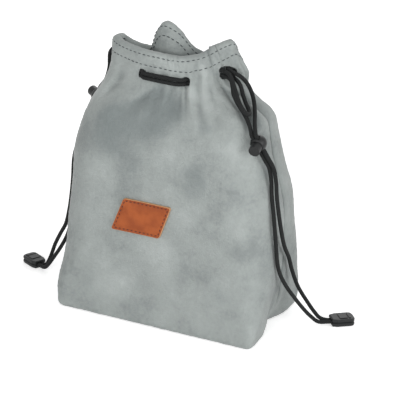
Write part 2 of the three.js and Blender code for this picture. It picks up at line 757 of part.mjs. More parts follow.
// Cord lock: a ball with a stepped bore for the button and spring, and a slot for two cords side by side
const strandSpacing = cordDiameter + cordGap;
const slotHalfWidth = (strandSpacing + cordDiameter) / 2 + cordGap;
const slotHeight = cordDiameter + 2 * cordGap;
const slotRise = slotRiseShare * cordDiameter;
const ballRadius = lockDiameter / 2;
const buttonRadius = buttonDiameter / 2;
const boreRadius = buttonRadius + lockClearance;
const windowBottom = slotRise - slotHeight / 2;
const buttonBottom = windowBottom - buttonBar;
const boreBottom = buttonBottom - lockTravel - lockClearance;
const pocketRadius = springPocketDiameter / 2;
const pocketBottom = lockFloor - ballRadius;

// Solid of revolution round Z from radius and height pairs that start and end on the axis
function turned(profile, segments) {
  const points = profile.map(([radius, height]) => new THREE.Vector2(radius, height));
  return new THREE.LatheGeometry(points, segments).rotateX(Math.PI / 2);
}

// Straight hole with round ends through Y, centred on a height along Z
function cordHole(halfWidth, height, rise, reach) {
  const corner = Math.min(height, 2 * halfWidth) / 2 - cordGap / 2;
  const corners = [
    new THREE.Vector2(-halfWidth, rise - height / 2),
    new THREE.Vector2(halfWidth, rise - height / 2),
    new THREE.Vector2(halfWidth, rise + height / 2),
    new THREE.Vector2(-halfWidth, rise + height / 2),
  ];
  const hole = new THREE.ExtrudeGeometry(roundedShape(corners, corner), {
    depth: 2 * reach,
    bevelEnabled: false,
    curveSegments: 3,
  });
  return hole.rotateX(Math.PI / 2).translate(0, reach, 0);
}

function ballProfile() {
  const openingAngle = Math.acos(boreRadius / ballRadius);
  const profile = [];
  for (let i = 0; i <= ballSteps; i += 1) {
    const angle = -Math.PI / 2 + (openingAngle + Math.PI / 2) * i / ballSteps;
    profile.push([i === 0 ? 0 : ballRadius * Math.cos(angle), ballRadius * Math.sin(angle)]);
  }
  profile.push([boreRadius, boreBottom], [pocketRadius, boreBottom]);
  profile.push([pocketRadius, pocketBottom], [0, pocketBottom]);
  return profile;
}

function buttonProfile() {
  const profile = [[0, buttonBottom], [buttonRadius, buttonBottom]];
  for (let i = 0; i <= crownSteps; i += 1) {
    const angle = Math.PI / 2 * i / crownSteps;
    const radius = buttonRadius - buttonRounding * (1 - Math.cos(angle));
    profile.push([radius, buttonHeight - buttonRounding * (1 - Math.sin(angle))]);
  }
  profile.push([0, buttonHeight]);
  return profile;
}

function springCurve() {
  const radius = pocketRadius - lockClearance - springWire / 2;
  const bottom = pocketBottom + lockClearance + springWire / 2;
  const top = buttonBottom - lockClearance - springWire / 2;
  const points = [];
  const count = springTurns * springStepsPerTurn;
  for (let i = 0; i <= count; i += 1) {
    const angle = 2 * Math.PI * i / springStepsPerTurn;
    points.push(new THREE.Vector3(
      radius * Math.cos(angle),
      radius * Math.sin(angle),
      bottom + (top - bottom) * i / count,
    ));
  }
  return new THREE.CatmullRomCurve3(points);
}

// A lock at its place on the cords: the cords run along its Y, the button points along its Z
function addLock(side, centre, cordDirection, buttonDirection) {
  const along = cordDirection.clone().normalize();
  const out = buttonDirection.clone().addScaledVector(along, -buttonDirection.dot(along)).normalize();
  const across = along.clone().cross(out);
  const lock = new THREE.Group();
  lock.quaternion.setFromRotationMatrix(new THREE.Matrix4().makeBasis(across, along, out));
  lock.position.copy(centre).addScaledVector(out, -slotRise);
  const body = cut(
    turned(ballProfile(), lockSegments),
    cordHole(slotHalfWidth, slotHeight, slotRise, lockDiameter),
  );
  const windowHeight = slotHeight + lockTravel;
  const button = cut(
    turned(buttonProfile(), lockSegments),
    cordHole(slotHalfWidth, windowHeight, windowBottom + windowHeight / 2, lockDiameter),
  );
  const spring = new THREE.ExtrudeGeometry(sectionShape(springWire, springSides), {
    steps: springTurns * springStepsPerTurn,
    extrudePath: springCurve(),
  });
  addMesh(lock, `cord_lock_${side}_body`, body, lockPlastic);
  addMesh(lock, `cord_lock_${side}_button`, button, lockPlastic);
  addMesh(lock, `cord_lock_${side}_spring`, spring, springSteel);
  model.add(lock);
  const strand = (sign) => lockRuns.map((distance) => (
    centre.clone().addScaledVector(along, distance).addScaledVector(across, sign * strandSpacing / 2)
  ));
  return { strand };
}

// Cord end: two halves pressed together over both strands, lying flat on the ground
function endOutline(inset) {
  const shape = new THREE.Shape();
  const half = endWidth / 2 - inset;
  const mouthHalf = endMouthWidth / 2 - inset;
  const corner = endCornerShare * endWidth;
  const taper = endTaperShare * endLength;
  shape.moveTo(inset, -mouthHalf);
  shape.lineTo(taper, -half);
  shape.lineTo(endLength - corner, -half);
  shape.quadraticCurveTo(endLength - inset, -half, endLength - inset, corner - half);
  shape.lineTo(endLength - inset, half - corner);
  shape.quadraticCurveTo(endLength - inset, half, endLength - corner, half);
  shape.lineTo(taper, half);
  shape.lineTo(inset, mouthHalf);
  shape.closePath();
  return shape;
}

function endHalf(bottom) {
  const height = (endHeight - layerGap) / 2;
  const half = new THREE.ExtrudeGeometry(endOutline(endEdge), {
    depth: height - 2 * endEdge,
    bevelEnabled: true,
    bevelThickness: endEdge,
    bevelSize: endEdge,
    bevelSegments: 1,
    curveSegments: 3,
  });
  return half.translate(0, 0, bottom + endEdge);
}

function endGrips() {
  const radius = cordDiameter / 2 + cordGap;
  return [-1, 1].map((sign) => (
    new THREE.CylinderGeometry(radius, radius, 2 * endGripDepth, gripSides)
      .rotateZ(Math.PI / 2)
      .translate(0, sign * strandSpacing / 2, endHeight / 2)
  ));
}

function endPins(radius, length) {
  const rise = (endHeight + layerGap + endPinRoot - length) / 2;
  return [-1, 1].map((sign) => (
    new THREE.CylinderGeometry(radius, radius, length + endPinRoot, pinSides)
      .rotateX(Math.PI / 2)
      .translate(endPinShare * endLength, sign * endPinSpreadShare * endWidth, rise)
  ));
}

// Raised block across the top of a cord end
function endSlab(fromX, toX) {
  return new THREE.BoxGeometry(toX - fromX, endWidth - 2 * endPanelInset, 2 * endPanelRise)
    .translate((fromX + toX) / 2, 0, endHeight);
}

function addCordEnd(side, mouth, direction) {
  const end = new THREE.Group();
  end.position.set(mouth.x, mouth.y, 0);
  end.rotation.z = Math.atan2(direction.y, direction.x);
  const pinHole = endPins(endPinDiameter / 2 + lockClearance, endPinLength + lockClearance);
  const base = cut(endHalf(0), ...endGrips(), ...pinHole);
  const panelFrom = endPanelInset + endTaperShare * endLength;
  const panelTo = endLength - 2 * endPanelInset - endRidgeLength;
  const ridgeFrom = panelTo + endPanelInset / 2;
  const cover = cut(
    join(
      endHalf((endHeight + layerGap) / 2),
      ...endPins(endPinDiameter / 2, endPinLength),
      endSlab(panelFrom, panelTo),
      endSlab(ridgeFrom, ridgeFrom + endRidgeLength),
    ),
    ...endGrips(),
  );
  addMesh(end, `cord_end_${side}_base`, base, endPlastic);
  addMesh(end, `cord_end_${side}_cover`, cover, endPlastic);
  model.add(end);
  const along = direction.clone().normalize();
  const across = new THREE.Vector3(-along.y, along.x, 0);
  const strand = (sign) => [-endLeadIn, endGripDepth - cordGap].map((distance) => (
    mouth.clone().addScaledVector(along, distance).addScaledVector(across, sign * strandSpacing / 2)
      .setZ(endHeight / 2)
  ));
  return { strand };
}

const rightLock = addLock("right", rightLockCentre, rightLockAlong, rightLockOut);
const leftLock = addLock("left", leftLockCentre, leftLockAlong, leftLockOut);
const rightEnd = addCordEnd("right", rightEndMouth, rightEndAlong);
const leftEnd = addCordEnd("left", leftEndMouth, leftEndAlong);

function asPoints(rows) {
  return rows.map(([x, y, z]) => new THREE.Vector3(x, y, z));
}

function addTail(name, start, toLock, throughLock, toEnd, inEnd) {
  const points = [...start, ...asPoints(toLock), ...throughLock, ...asPoints(toEnd), ...inEnd];
  addMesh(model, name, strandTube(points), cordCloth);
}

addTail(
  "right_tail_front", strandStart(rightSeamShare, -1, lower),
  rightFrontToLock, rightLock.strand(1), rightFrontToEnd, rightEnd.strand(-1),
);
addTail(
  "right_tail_rear", strandStart(rightSeamShare, 1, upper),
  rightRearToLock, rightLock.strand(-1), rightRearToEnd, rightEnd.strand(1),
);
addTail(
  "left_tail_front", strandStart(leftSeamShare, 1, upper),
  leftFrontToLock, leftLock.strand(-1), leftFrontToEnd, leftEnd.strand(leftFrontEndSign),
);
addTail(
  "left_tail_rear", strandStart(1, -1, lower),
  leftRearToLock, leftLock.strand(1), leftRearToEnd, leftEnd.strand(-leftFrontEndSign),
);

// Slack of the left cord, pulled out at the right seam
const slack = [
  ...strandStart(rightSeamShare, -1, upper),
  ...asPoints(slackLoop),
  ...strandStart(rightSeamShare, 1, lower).toReversed(),
];
addMesh(model, "drawstring_left_slack", strandTube(slack), cordCloth);

export default model;
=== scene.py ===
# %% [markdown]
# A padded lens pouch of short grey plush. Two black cords run in a channel below the hem and gather the
# mouth, each pair of cord ends passes a ball-shaped lock and meets in a flat plastic end, and a small
# leather patch is sewn to the front. The packed solids say where everything is, and this script gives
# every piece its fine shape and its finish. All sizes here are in millimetres until a mesh is written.

# %% Load the frame
import json
import math

import bmesh
import bpy
import numpy as np
from mathutils import Matrix, Vector, noise

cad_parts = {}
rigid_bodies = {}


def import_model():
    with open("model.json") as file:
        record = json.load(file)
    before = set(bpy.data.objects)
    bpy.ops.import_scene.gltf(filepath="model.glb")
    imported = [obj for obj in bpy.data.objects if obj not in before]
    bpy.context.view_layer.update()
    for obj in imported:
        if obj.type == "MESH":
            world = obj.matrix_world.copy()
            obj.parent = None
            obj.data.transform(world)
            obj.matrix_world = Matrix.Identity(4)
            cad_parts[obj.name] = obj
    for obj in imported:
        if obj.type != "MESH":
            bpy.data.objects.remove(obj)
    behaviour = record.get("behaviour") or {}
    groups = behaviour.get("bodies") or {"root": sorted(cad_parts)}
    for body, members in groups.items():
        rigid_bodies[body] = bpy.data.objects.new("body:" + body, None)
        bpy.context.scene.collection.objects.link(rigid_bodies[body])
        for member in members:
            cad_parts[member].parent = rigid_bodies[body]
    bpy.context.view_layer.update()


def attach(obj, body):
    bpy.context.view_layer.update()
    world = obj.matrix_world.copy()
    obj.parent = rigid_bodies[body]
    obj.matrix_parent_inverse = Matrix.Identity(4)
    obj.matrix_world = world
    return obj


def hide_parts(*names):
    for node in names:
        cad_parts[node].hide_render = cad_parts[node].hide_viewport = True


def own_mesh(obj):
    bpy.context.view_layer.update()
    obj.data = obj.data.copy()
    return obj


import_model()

MM = 0.001

# %% [markdown]
# The camera stands a little to the right of the front and looks down on the pouch. A long lens keeps the
# upright edges nearly parallel, as a product photograph does. The camera is aimed at a point inside the
# pouch, and a small shift then moves the pouch to its place in the picture, which leaves room for the
# cord end on the right without turning the camera away.

# %% Camera
PICTURE = 416
AIM = Vector((0, 0, 100)) * MM
AZIMUTH, ELEVATION, ROLL = (math.radians(a) for a in (24, 22, 2))
DISTANCE, NEAREST = 1.2, 0.05
FOCAL_PIXELS = 1642
AIM_PIXEL = (183.1, 180.2)
SENSOR_MM = 36

back = Vector((
    math.sin(AZIMUTH) * math.cos(ELEVATION),
    -math.cos(AZIMUTH) * math.cos(ELEVATION),
    math.sin(ELEVATION),
))
right = Vector((math.cos(AZIMUTH), math.sin(AZIMUTH), 0))
up = back.cross(right)
camera_x = right * math.cos(ROLL) + up * math.sin(ROLL)
camera_y = up * math.cos(ROLL) - right * math.sin(ROLL)
camera = bpy.data.objects.new("camera", bpy.data.cameras.new("camera"))
bpy.context.scene.collection.objects.link(camera)
camera.matrix_world = Matrix.Translation(AIM + back * DISTANCE) @ Matrix(
    (camera_x, camera_y, back)
).transposed().to_4x4()
camera.data.sensor_width = SENSOR_MM
camera.data.lens = FOCAL_PIXELS / PICTURE * SENSOR_MM
camera.data.shift_x = 0.5 - AIM_PIXEL[0] / PICTURE
camera.data.shift_y = AIM_PIXEL[1] / PICTURE - 0.5
camera.data.clip_start = NEAREST
bpy.context.scene.camera = camera
print("lens", round(camera.data.lens, 1), "millimetres, standing", DISTANCE, "metres away")

# %% [markdown]
# Both cords are limp three-millimetre cord. The two ends of a cord pass a lock side by side and meet in a
# cord end on the floor. The place of each lock and each cord end is given once, and both strands share
# it, half a strand spacing to either side.

# %% Places of locks and cord ends
CORD = 3
STRAND_SPACING = 3.3


def lock_frame(centre, along, out):
    """Where a lock sits: its middle, the way of the cords, the way of its button, and across both."""
    along = Vector(along).normalized()
    out = Vector(out)
    out = (out - along * out.dot(along)).normalized()
    return {"centre": Vector(centre), "along": along, "out": out, "across": along.cross(out)}


def end_frame(mouth, along):
    """Where a cord end lies: the middle of its mouth, the way into it, and across."""
    along = Vector(along).normalized()
    return {"centre": Vector(mouth), "along": along, "across": Vector((-along.y, along.x, 0))}


LOCKS = {
    "right": lock_frame((68.66, -29.29, 151), (0.377, 0.315, -0.871), (0.056, -0.946, -0.318)),
    "left": lock_frame((-78.8, 16, 147), (-0.31, -0.2, -0.929), (-0.829, 0.536, 0.161)),
}
ENDS = {
    "right": end_frame((113.3, 21.9, 3), (0.79, 0.61, 0)),
    "left": end_frame((-122.1, 5.3, 3), (-0.889, 0.457, 0)),
}
LOCK_RUNS = (-7, -4, 0, 4, 7, 14, 21)
END_RUNS = (-2.5, 7.7)


def side_by_side(place, runs, sign):
    """Points of one of two strands that pass a lock or a cord end together."""
    middle = place["centre"] + place["across"].normalized() * (sign * STRAND_SPACING / 2)
    return [middle + place["along"] * run for run in runs]


def through_lock(side, sign):
    return side_by_side(LOCKS[side], LOCK_RUNS, sign)


def into_end(side, sign):
    return side_by_side(ENDS[side], END_RUNS, sign)


print("locks", [round(lock["centre"].z) for lock in LOCKS.values()], "mm above the floor")

# %% [markdown]
# Every free stretch starts where the cord leaves the pouch, falls over the padded shoulder, goes through
# a lock and ends in a cord end. The left cord also has a slack loop, which comes out of the right opening
# and goes back into it. A route is a short list of points, and a smooth curve through them gives the line
# of the cord.

# %% Cord routes
ROUTES = {
    "right_tail_front": [
        (36.12, -12.71, 189.06), (38.43, -14.1, 189.06),
        (41, -15.9, 187.9), (42.7, -17.3, 184.4), (44, -18.3, 180), (46.8, -19.5, 175.6),
        (51.3, -21.5, 171.2), (56.5, -24.2, 166.8), (61.2, -27.6, 161.5), *through_lock("right", 1),
        (76.7, -21, 121.7), (77.8, -21.6, 112), (81.3, -24, 96), (83.4, -22.4, 75), (84.9, -19, 56.1),
        (87, -9.6, 40.4), (91.6, 0, 26.3), (96.1, 10.5, 12.9), (100, 15, 6.4), (105.5, 16.6, 2.6),
        *into_end("right", -1),
    ],
    "right_tail_rear": [
        (37.13, -9.67, 192.86), (39.18, -11.43, 192.86),
        (42.6, -12.4, 192.6), (46.2, -11.4, 190.6), (49.2, -8.6, 186.5), (51.6, -6.2, 181),
        (54.4, -6.6, 174.8), (58.9, -14.2, 169.2), (63.2, -24, 163.6), *through_lock("right", -1),
        (80.3, -21, 121.7), (81.4, -21.2, 112), (84.5, -21.8, 96), (85.9, -13.4, 73), (85.6, 0.1, 56.6),
        (86, 7, 44.3), (89.3, 13.2, 29), (95.8, 18.2, 15.5), (100.6, 20.4, 8), (105.2, 20.6, 4),
        *into_end("right", 1),
    ],
    "left_tail_front": [
        (-58.41, 4.09, 189.34), (-60.34, 5.98, 189.34),
        (-63.2, 7.9, 188.4), (-65.9, 8.9, 184.8), (-66.6, 9.6, 179.5), (-67, 10.4, 174),
        (-68.6, 11.6, 168), (-72, 13.8, 161), *through_lock("left", -1),
        (-88.4, 5, 116), (-90, -0.2, 102), (-90.2, -1.9, 84.3), (-90, -4.9, 70.3), (-91, -5.9, 60),
        (-94.4, -4.7, 47.4), (-99.8, -2.8, 37.7), (-106, 0, 26.3), (-110.5, 2.2, 15.6),
        (-113.6, 3.6, 9), (-116.4, 4.8, 4.7), *into_end("left", -1),
    ],
    "left_tail_rear": [
        (-56.35, 6.69, 185.54), (-58.6, 8.2, 185.54),
        (-61.4, 10.6, 184.3), (-63.2, 12.2, 180.5), (-63.6, 13, 175.5), (-64.6, 14.2, 169.5),
        (-67.6, 16, 162.8), (-71.7, 17.8, 157.5), *through_lock("left", 1),
        (-87.4, 9.4, 115), (-90.4, 3.6, 102), (-90.6, 2.3, 84.3), (-90, -0.8, 70.3), (-90.4, -1.7, 58.3),
        (-92, -1.6, 46.4), (-94.9, -1.4, 36.5), (-100, -1.6, 25.9), (-106.8, -2, 14.6),
        (-111.2, -1.6, 8), (-114.9, -0.4, 4.2), *into_end("left", 1),
    ],
    "drawstring_left_slack": [
        (34.74, -12.85, 192.86), (37, -14.32, 192.86),
        (39.7, -16.2, 192.3), (43, -18.9, 189.4), (46.9, -22.5, 184.6), (51, -27, 180.2),
        (54.9, -30.1, 176), (58.4, -29.9, 172), (59.4, -25.4, 169.7), (57, -20.4, 170.6),
        (53.4, -17, 173.6), (50.2, -14.6, 177.4), (48.4, -13.6, 181.4), (46.9, -13.4, 185),
        (44.2, -12.9, 187.9), (40.5, -11.14, 189.06), (38.4, -9.45, 189.06),
    ],
}
print("routes:", {name: len(points) for name, points in ROUTES.items()})

# %% [markdown]
# A cord bends evenly, so its line has to be a smooth curve that goes through every point of its route and
# doesn't swing out where the points lie unevenly. A Catmull-Rom curve whose knots follow the square roots
# of the distances does that. The curve is then cut again at even steps, because the braid needs them.

# %% Smooth lines
def run_along(line):
    """How far each point of a line is from its start, along the line."""
    return np.concatenate([[0], np.cumsum(np.linalg.norm(np.diff(line, axis=0), axis=1))])


def smooth_route(points, step):
    """Points about one step apart on a smooth curve through a route's own points."""
    p = np.array([tuple(q) for q in points], float)
    p = np.vstack([2 * p[0] - p[1], p, 2 * p[-1] - p[-2]])
    line = []
    for i in range(1, len(p) - 2):
        a, b, c, d = p[i - 1:i + 3]
        knots = np.cumsum([0, *(np.linalg.norm(e) ** 0.5 for e in (b - a, c - b, d - c))])
        count = max(2, math.ceil(np.linalg.norm(c - b) / step * 2))
        t = np.linspace(knots[1], knots[2], count, endpoint=False)[:, None]

        def between(lo, hi, k_lo, k_hi):
            return (lo * (k_hi - t) + hi * (t - k_lo)) / (k_hi - k_lo)

        ab = between(a, b, knots[0], knots[1])
        bc = between(b, c, knots[1], knots[2])
        cd = between(c, d, knots[2], knots[3])
        first = between(ab, bc, knots[0], knots[2])
        second = between(bc, cd, knots[1], knots[3])
        line.append(between(first, second, knots[1], knots[2]))
    line = np.vstack([*line, p[-2]])
    run = run_along(line)
    even = np.linspace(0, run[-1], max(2, round(run[-1] / step)) + 1)
    return np.stack([np.interp(even, run, line[:, k]) for k in range(3)], axis=1)


for name, points in ROUTES.items():
    print(name, round(run_along(smooth_route(points, 1))[-1]), "mm")

# %% [markdown]
# Every soft piece starts as one flat sheet of squares. A function then says where each point of the
# sheet goes: round a cord, or over the padded wall. The sheet keeps its map from before, so a pattern
# such as the braid can follow the piece. Rolling a sheet into a tube needs its two long edges merged and
# its ends closed, and all of this is done with bmesh operators.

# %% Sheets and tubes
MERGE_DISTANCE = 0.001


def link(name, data, material=None):
    obj = bpy.data.objects.new(name, data)
    bpy.context.scene.collection.objects.link(obj)
    if material:
        data.materials.append(material)
    return obj


def write_mesh(name, bm):
    mesh = bpy.data.meshes.new(name)
    bm.to_mesh(mesh)
    bm.free()
    mesh.shade_smooth()
    return mesh


def stand_for(piece, node, body="bag"):
    """Puts a piece on its body in the place of its solid, and hides the solid."""
    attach(piece, body)
    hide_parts(node)


def sheet_bmesh(columns, rows, place, prepare=None):
    """A sheet of squares whose points are set by place(u, v), both from 0 to 1, in millimetres."""
    bm = bmesh.new()
    bm.loops.layers.uv.new("UVMap")
    bmesh.ops.create_grid(bm, x_segments=columns, y_segments=rows, size=0.5, calc_uvs=True)
    bmesh.ops.translate(bm, verts=bm.verts, vec=(0.5, 0.5, 0))
    if prepare:
        prepare(bm)
    flat = np.array([v.co[:2] for v in bm.verts])
    spots = place(flat[:, 0], flat[:, 1]) * MM
    for vert, spot in zip(bm.verts, spots.tolist()):
        vert.co = spot
    return bm


def tube_bmesh(line, sides, radius):
    """A tube along a line of points. radius(around, along) gives the distance from the line.

    The tube's own map then counts millimetres along it.
    """
    run = run_along(line)
    forward = np.gradient(line, axis=0)
    forward /= np.linalg.norm(forward, axis=1)[:, None]
    sideways = np.zeros_like(line)
    start = np.cross(forward[0], (0, 0, 1))
    sideways[0] = start / np.linalg.norm(start)
    for i in range(1, len(line)):
        kept = sideways[i - 1] - forward[i] * sideways[i - 1].dot(forward[i])
        sideways[i] = kept / np.linalg.norm(kept)
    upward = np.cross(forward, sideways)

    def place(u, v):
        row = np.rint(v * (len(line) - 1)).astype(int)
        angle = 2 * math.pi * u
        out = sideways[row] * np.cos(angle)[:, None] + upward[row] * np.sin(angle)[:, None]
        return line[row] + out * radius(u, run[row])[:, None]

    bm = sheet_bmesh(sides, len(line) - 1, place)
    layer = bm.loops.layers.uv.active
    for face in bm.faces:
        for loop in face.loops:
            loop[layer].uv.y *= run[-1]
    bmesh.ops.remove_doubles(bm, verts=bm.verts, dist=MERGE_DISTANCE * MM)
    ends = [e for e in bm.edges if e.is_boundary]
    bmesh.ops.holes_fill(bm, edges=ends, sides=0)
    bmesh.ops.recalc_face_normals(bm, faces=bm.faces)
    return bm


trial = tube_bmesh(np.array([(0, 0, 0), (5, 0, 0), (10, 0, 1)], float), 6, lambda u, run: 1 + 0 * u)
print("a trial tube of two rows and six sides has", len(trial.faces), "faces with its ends")
trial.free()

# %% [markdown]
# The cord is a round braid: two sets of strands wind round it in opposite turns and pass over and under
# each other. Two waves that run round the tube in opposite turns give that relief. It is only a tenth of
# a millimetre high, but it breaks up the highlight along the cord.

# %% Braided cords
BRAID_STRANDS = 8
BRAID_PITCH = 7.5
BRAID_RELIEF = 0.1
CORD_SIDES = 18
CORD_STEP = 0.55


def braid(u, run):
    turns = 2 * run / BRAID_PITCH
    one = np.cos(math.pi * BRAID_STRANDS * (u + turns / 4)) ** 2
    two = np.cos(math.pi * BRAID_STRANDS * (u - turns / 4)) ** 2
    return CORD / 2 - BRAID_RELIEF * (1 - np.maximum(one, two))


def braided_cord(name, node, points):
    """A cord piece that stands for a node of the frame, and the line that it follows."""
    line = smooth_route(points, CORD_STEP)
    piece = link(name, write_mesh(name, tube_bmesh(line, CORD_SIDES, braid)))
    stand_for(piece, node)
    return piece, line


cord_pieces = []
for name, points in ROUTES.items():
    piece, line = braided_cord(name + "_braid", name, points)
    cord_pieces.append(piece)
    side = "left" if name.startswith("left") else "right"
    print(piece.name, len(piece.data.polygons), "faces")

# %% [markdown]
# Every surface gets its own procedural material, a small network of nodes. Written out node by node that
# would be long, so a small class wraps a node's output, and sums and products of patterns can be written
# as plain expressions.

# %% Shader expressions
class Wire:
    """A shader socket that Python's operators turn into Math nodes."""

    def __init__(self, finish, socket):
        self.finish = finish
        self.socket = socket

    def math(self, operation, one, two=0):
        return self.finish.node("ShaderNodeMath", {"operation": operation}, {0: one, 1: two})

    __add__ = lambda self, other: self.math("ADD", self, other)
    __radd__ = lambda self, other: self.math("ADD", other, self)
    __sub__ = lambda self, other: self.math("SUBTRACT", self, other)
    __rsub__ = lambda self, other: self.math("SUBTRACT", other, self)
    __mul__ = lambda self, other: self.math("MULTIPLY", self, other)
    __rmul__ = lambda self, other: self.math("MULTIPLY", other, self)
    larger = lambda self, other: self.math("MAXIMUM", self, other)
    smaller = lambda self, other: self.math("MINIMUM", self, other)
    size = lambda self: self.math("ABSOLUTE", self)
    sine = lambda self: self.math("SINE", self)


print("beside sums and products a wire has", [name for name in vars(Wire) if name[0] != "_"])

# %% [markdown]
# A second class holds the nodes of one finish, and one of its methods makes any node. All patterns use
# the piece's own coordinates in real sizes, so they stay on the piece and keep their scale. Only a few
# inputs of the shader vary over a surface, and the rest are constants.

# %% Finishes
class Finish:
    """The nodes of a material or of the world, and the shader that they feed."""

    def __init__(self, owner, sockets, shader="Principled BSDF"):
        owner.use_nodes = True
        self.material = owner
        self.tree = owner.node_tree
        self.shader = self.tree.nodes[shader]
        self.feed(sockets)

    def node(self, kind, settings, sockets, output=0):
        """A node: its type, its settings, what its sockets hold or are linked to, and the output used."""
        made = self.tree.nodes.new(kind)
        for key, value in settings.items():
            setattr(made, key, value)
        for key, value in sockets.items():
            self.put(made.inputs[key], value)
        return Wire(self, made.outputs[output])

    def put(self, socket, value):
        if isinstance(value, Wire):
            self.tree.links.new(value.socket, socket)
        else:
            socket.default_value = value

    def feed(self, sockets):
        """Gives the shader's sockets plain values, or links to them."""
        for key, value in sockets.items():
            self.put(self.shader.inputs[key], value)

    def place(self):
        return self.node("ShaderNodeTexCoord", {}, {}, "Object")

    def map_axis(self, axis):
        """One coordinate of the piece's own map."""
        flat = self.node("ShaderNodeTexCoord", {}, {}, "UV")
        return self.node("ShaderNodeSeparateXYZ", {}, {"Vector": flat}, axis)

    def noise(self, size, detail=2, distortion=0):
        """Noise whose lumps are about this many millimetres across."""
        sockets = {"Scale": 1 / (size * MM), "Detail": detail, "Distortion": distortion}
        return self.node("ShaderNodeTexNoise", {}, {"Vector": self.place(), **sockets}, "Fac")

    def mix(self, share, one, other):
        """One colour passing into another as the share goes from 0 to 1."""
        return self.node("ShaderNodeMix", {"data_type": "RGBA"}, {0: share, 6: one, 7: other}, 2)

    def ramp(self, value, low, high):
        """From 0 at low to 1 at high, with soft ends."""
        settings = {"interpolation_type": "SMOOTHSTEP"}
        return self.node("ShaderNodeMapRange", settings, {0: value, 1: low, 2: high, 3: 0, 4: 1})

    def bump(self, height, depth):
        """Bump from a height between 0 and 1 that stands for this many millimetres."""
        sockets = {"Strength": 1, "Distance": depth * MM, "Height": height}
        self.feed({"Normal": self.node("ShaderNodeBump", {}, sockets, "Normal")})


def new_finish(name, sockets):
    return Finish(bpy.data.materials.new(name), sockets)


def paint(red, green, blue):
    """A colour as the eye reads it in a picture, from 0 to 255, as the shader's linear values."""
    parts = [v / 255 for v in (red, green, blue)]
    return (*[v / 12.92 if v <= 0.04045 else ((v + 0.055) / 1.055) ** 2.4 for v in parts], 1)


print("a middle grey as linear values:", [round(v, 3) for v in paint(128, 128, 128)])

# %% [markdown]
# The picture is a studio shot on a white ground, with soft light and only a faint shadow below the pouch.
# Three large area lamps give that light, from the front, the right and behind. The floor and the world
# look white to the camera and in reflections, but the world lights the pouch at a plain level, so that its
# colours stay as they are written.

# %% Floor, background and lamps
FLOOR_SIZE, FLOOR_DROP = 6000, 0.3
PLAIN_LIGHT = 0.34
FLOOR_GLOW = 0.55
WHITE = (1, 1, 1, 1)
scene = bpy.context.scene
scene.view_settings.view_transform = "Standard"


def seen_directly(finish):
    """1 for the camera's own rays and for those in reflections and glass, 0 for light."""
    rays = ("Is Camera Ray", "Is Glossy Ray", "Is Transmission Ray")
    seen, mirrored, through = (finish.node("ShaderNodeLightPath", {}, {}, ray) for ray in rays)
    return seen.larger(mirrored).larger(through)


bm = bmesh.new()
bmesh.ops.create_grid(bm, x_segments=1, y_segments=1, size=FLOOR_SIZE / 2 * MM)
bmesh.ops.translate(bm, verts=bm.verts, vec=Vector((0, 0, -FLOOR_DROP)) * MM)
ground = new_finish("studio_floor", {"Base Color": paint(244, 244, 244), "Roughness": 0.9})
matt = Wire(ground, ground.shader.outputs[0])
glow = ground.node("ShaderNodeEmission", {}, {"Color": WHITE, "Strength": FLOOR_GLOW})
bright = ground.node("ShaderNodeAddShader", {}, {0: matt, 1: glow})
shown = ground.node("ShaderNodeMixShader", {}, {0: seen_directly(ground), 1: matt, 2: bright})
ground.put(ground.tree.nodes["Material Output"].inputs["Surface"], shown)
floor = link("studio_floor", write_mesh("studio_floor", bm), ground.material)

scene.world = bpy.data.worlds.new("studio")
sky = Finish(scene.world, {"Color": WHITE, "Strength": PLAIN_LIGHT}, "Background")
plain = Wire(sky, sky.shader.outputs[0])
white = sky.node("ShaderNodeBackground", {}, {"Color": WHITE, "Strength": 1})
shown = sky.node("ShaderNodeMixShader", {}, {0: seen_directly(sky), 1: plain, 2: white})
sky.put(sky.tree.nodes["World Output"].inputs["Surface"], shown)


def lamp(name, place, size, watts):
    """A square lamp that faces the point at which the camera is aimed."""
    data = bpy.data.lights.new(name, "AREA")
    data.shape = "SQUARE"
    data.size = size * MM
    data.energy = watts
    obj = link(name, data)
    obj.location = Vector(place) * MM
    obj.rotation_euler = (obj.location - AIM).to_track_quat("Z", "Y").to_euler()
    print(name, watts, "watts")


lamp("key_lamp", (100, -1300, 560), 600, 9)
lamp("side_lamp", (1200, -350, 500), 800, 7.5)
lamp("back_lamp", (-300, 1100, 900), 900, 5)

# %% [markdown]
# The pouch's wall follows the same sizes as its solids. Below the drawn mouth it is a padded box with
# rounded corners. Sections at ten heights give its width, depth and corners, and how far it leans, and it
# is widest low down. Every size is a share of the pouch's own, as a maker's pattern would be scaled.

# %% Body sections
WIDTH, DEPTH, HEIGHT = 150, 95, 220
CORNER_LIMIT = 0.97
# Height, width, depth and corner, then the lean to the right and to the back
SECTION_SHARES = np.array([
    (0, 1.045, 1, 0.11, -0.012, 0),
    (0.07, 1.08, 0.98, 0.17, -0.008, 0),
    (0.18, 1.095, 0.92, 0.42, 0, 0),
    (0.34, 1.09, 0.885, 0.59, 0, 0),
    (0.455, 1.07, 0.875, 0.63, -0.005, -0.01),
    (0.57, 1.015, 0.835, 0.65, -0.04, -0.04),
    (0.665, 0.955, 0.76, 0.63, -0.03, -0.06),
    (0.755, 0.87, 0.65, 0.55, 0, -0.07),
    (0.845, 0.77, 0.46, 0.38, -0.04, -0.1),
    (0.935, 0.64, 0.295, 0.25, -0.125, -0.125),
])


def section_slopes(table):
    """How fast each value of the table changes at its rows."""
    gaps = np.diff(table[:, 0])[:, None]
    rises = np.diff(table[:, 1:], axis=0) / gaps
    middle = (rises[:-1] * gaps[1:] + rises[1:] * gaps[:-1]) / (gaps[1:] + gaps[:-1])
    return np.vstack([rises[:1], middle, rises[-1:]])


SLOPES = section_slopes(SECTION_SHARES)


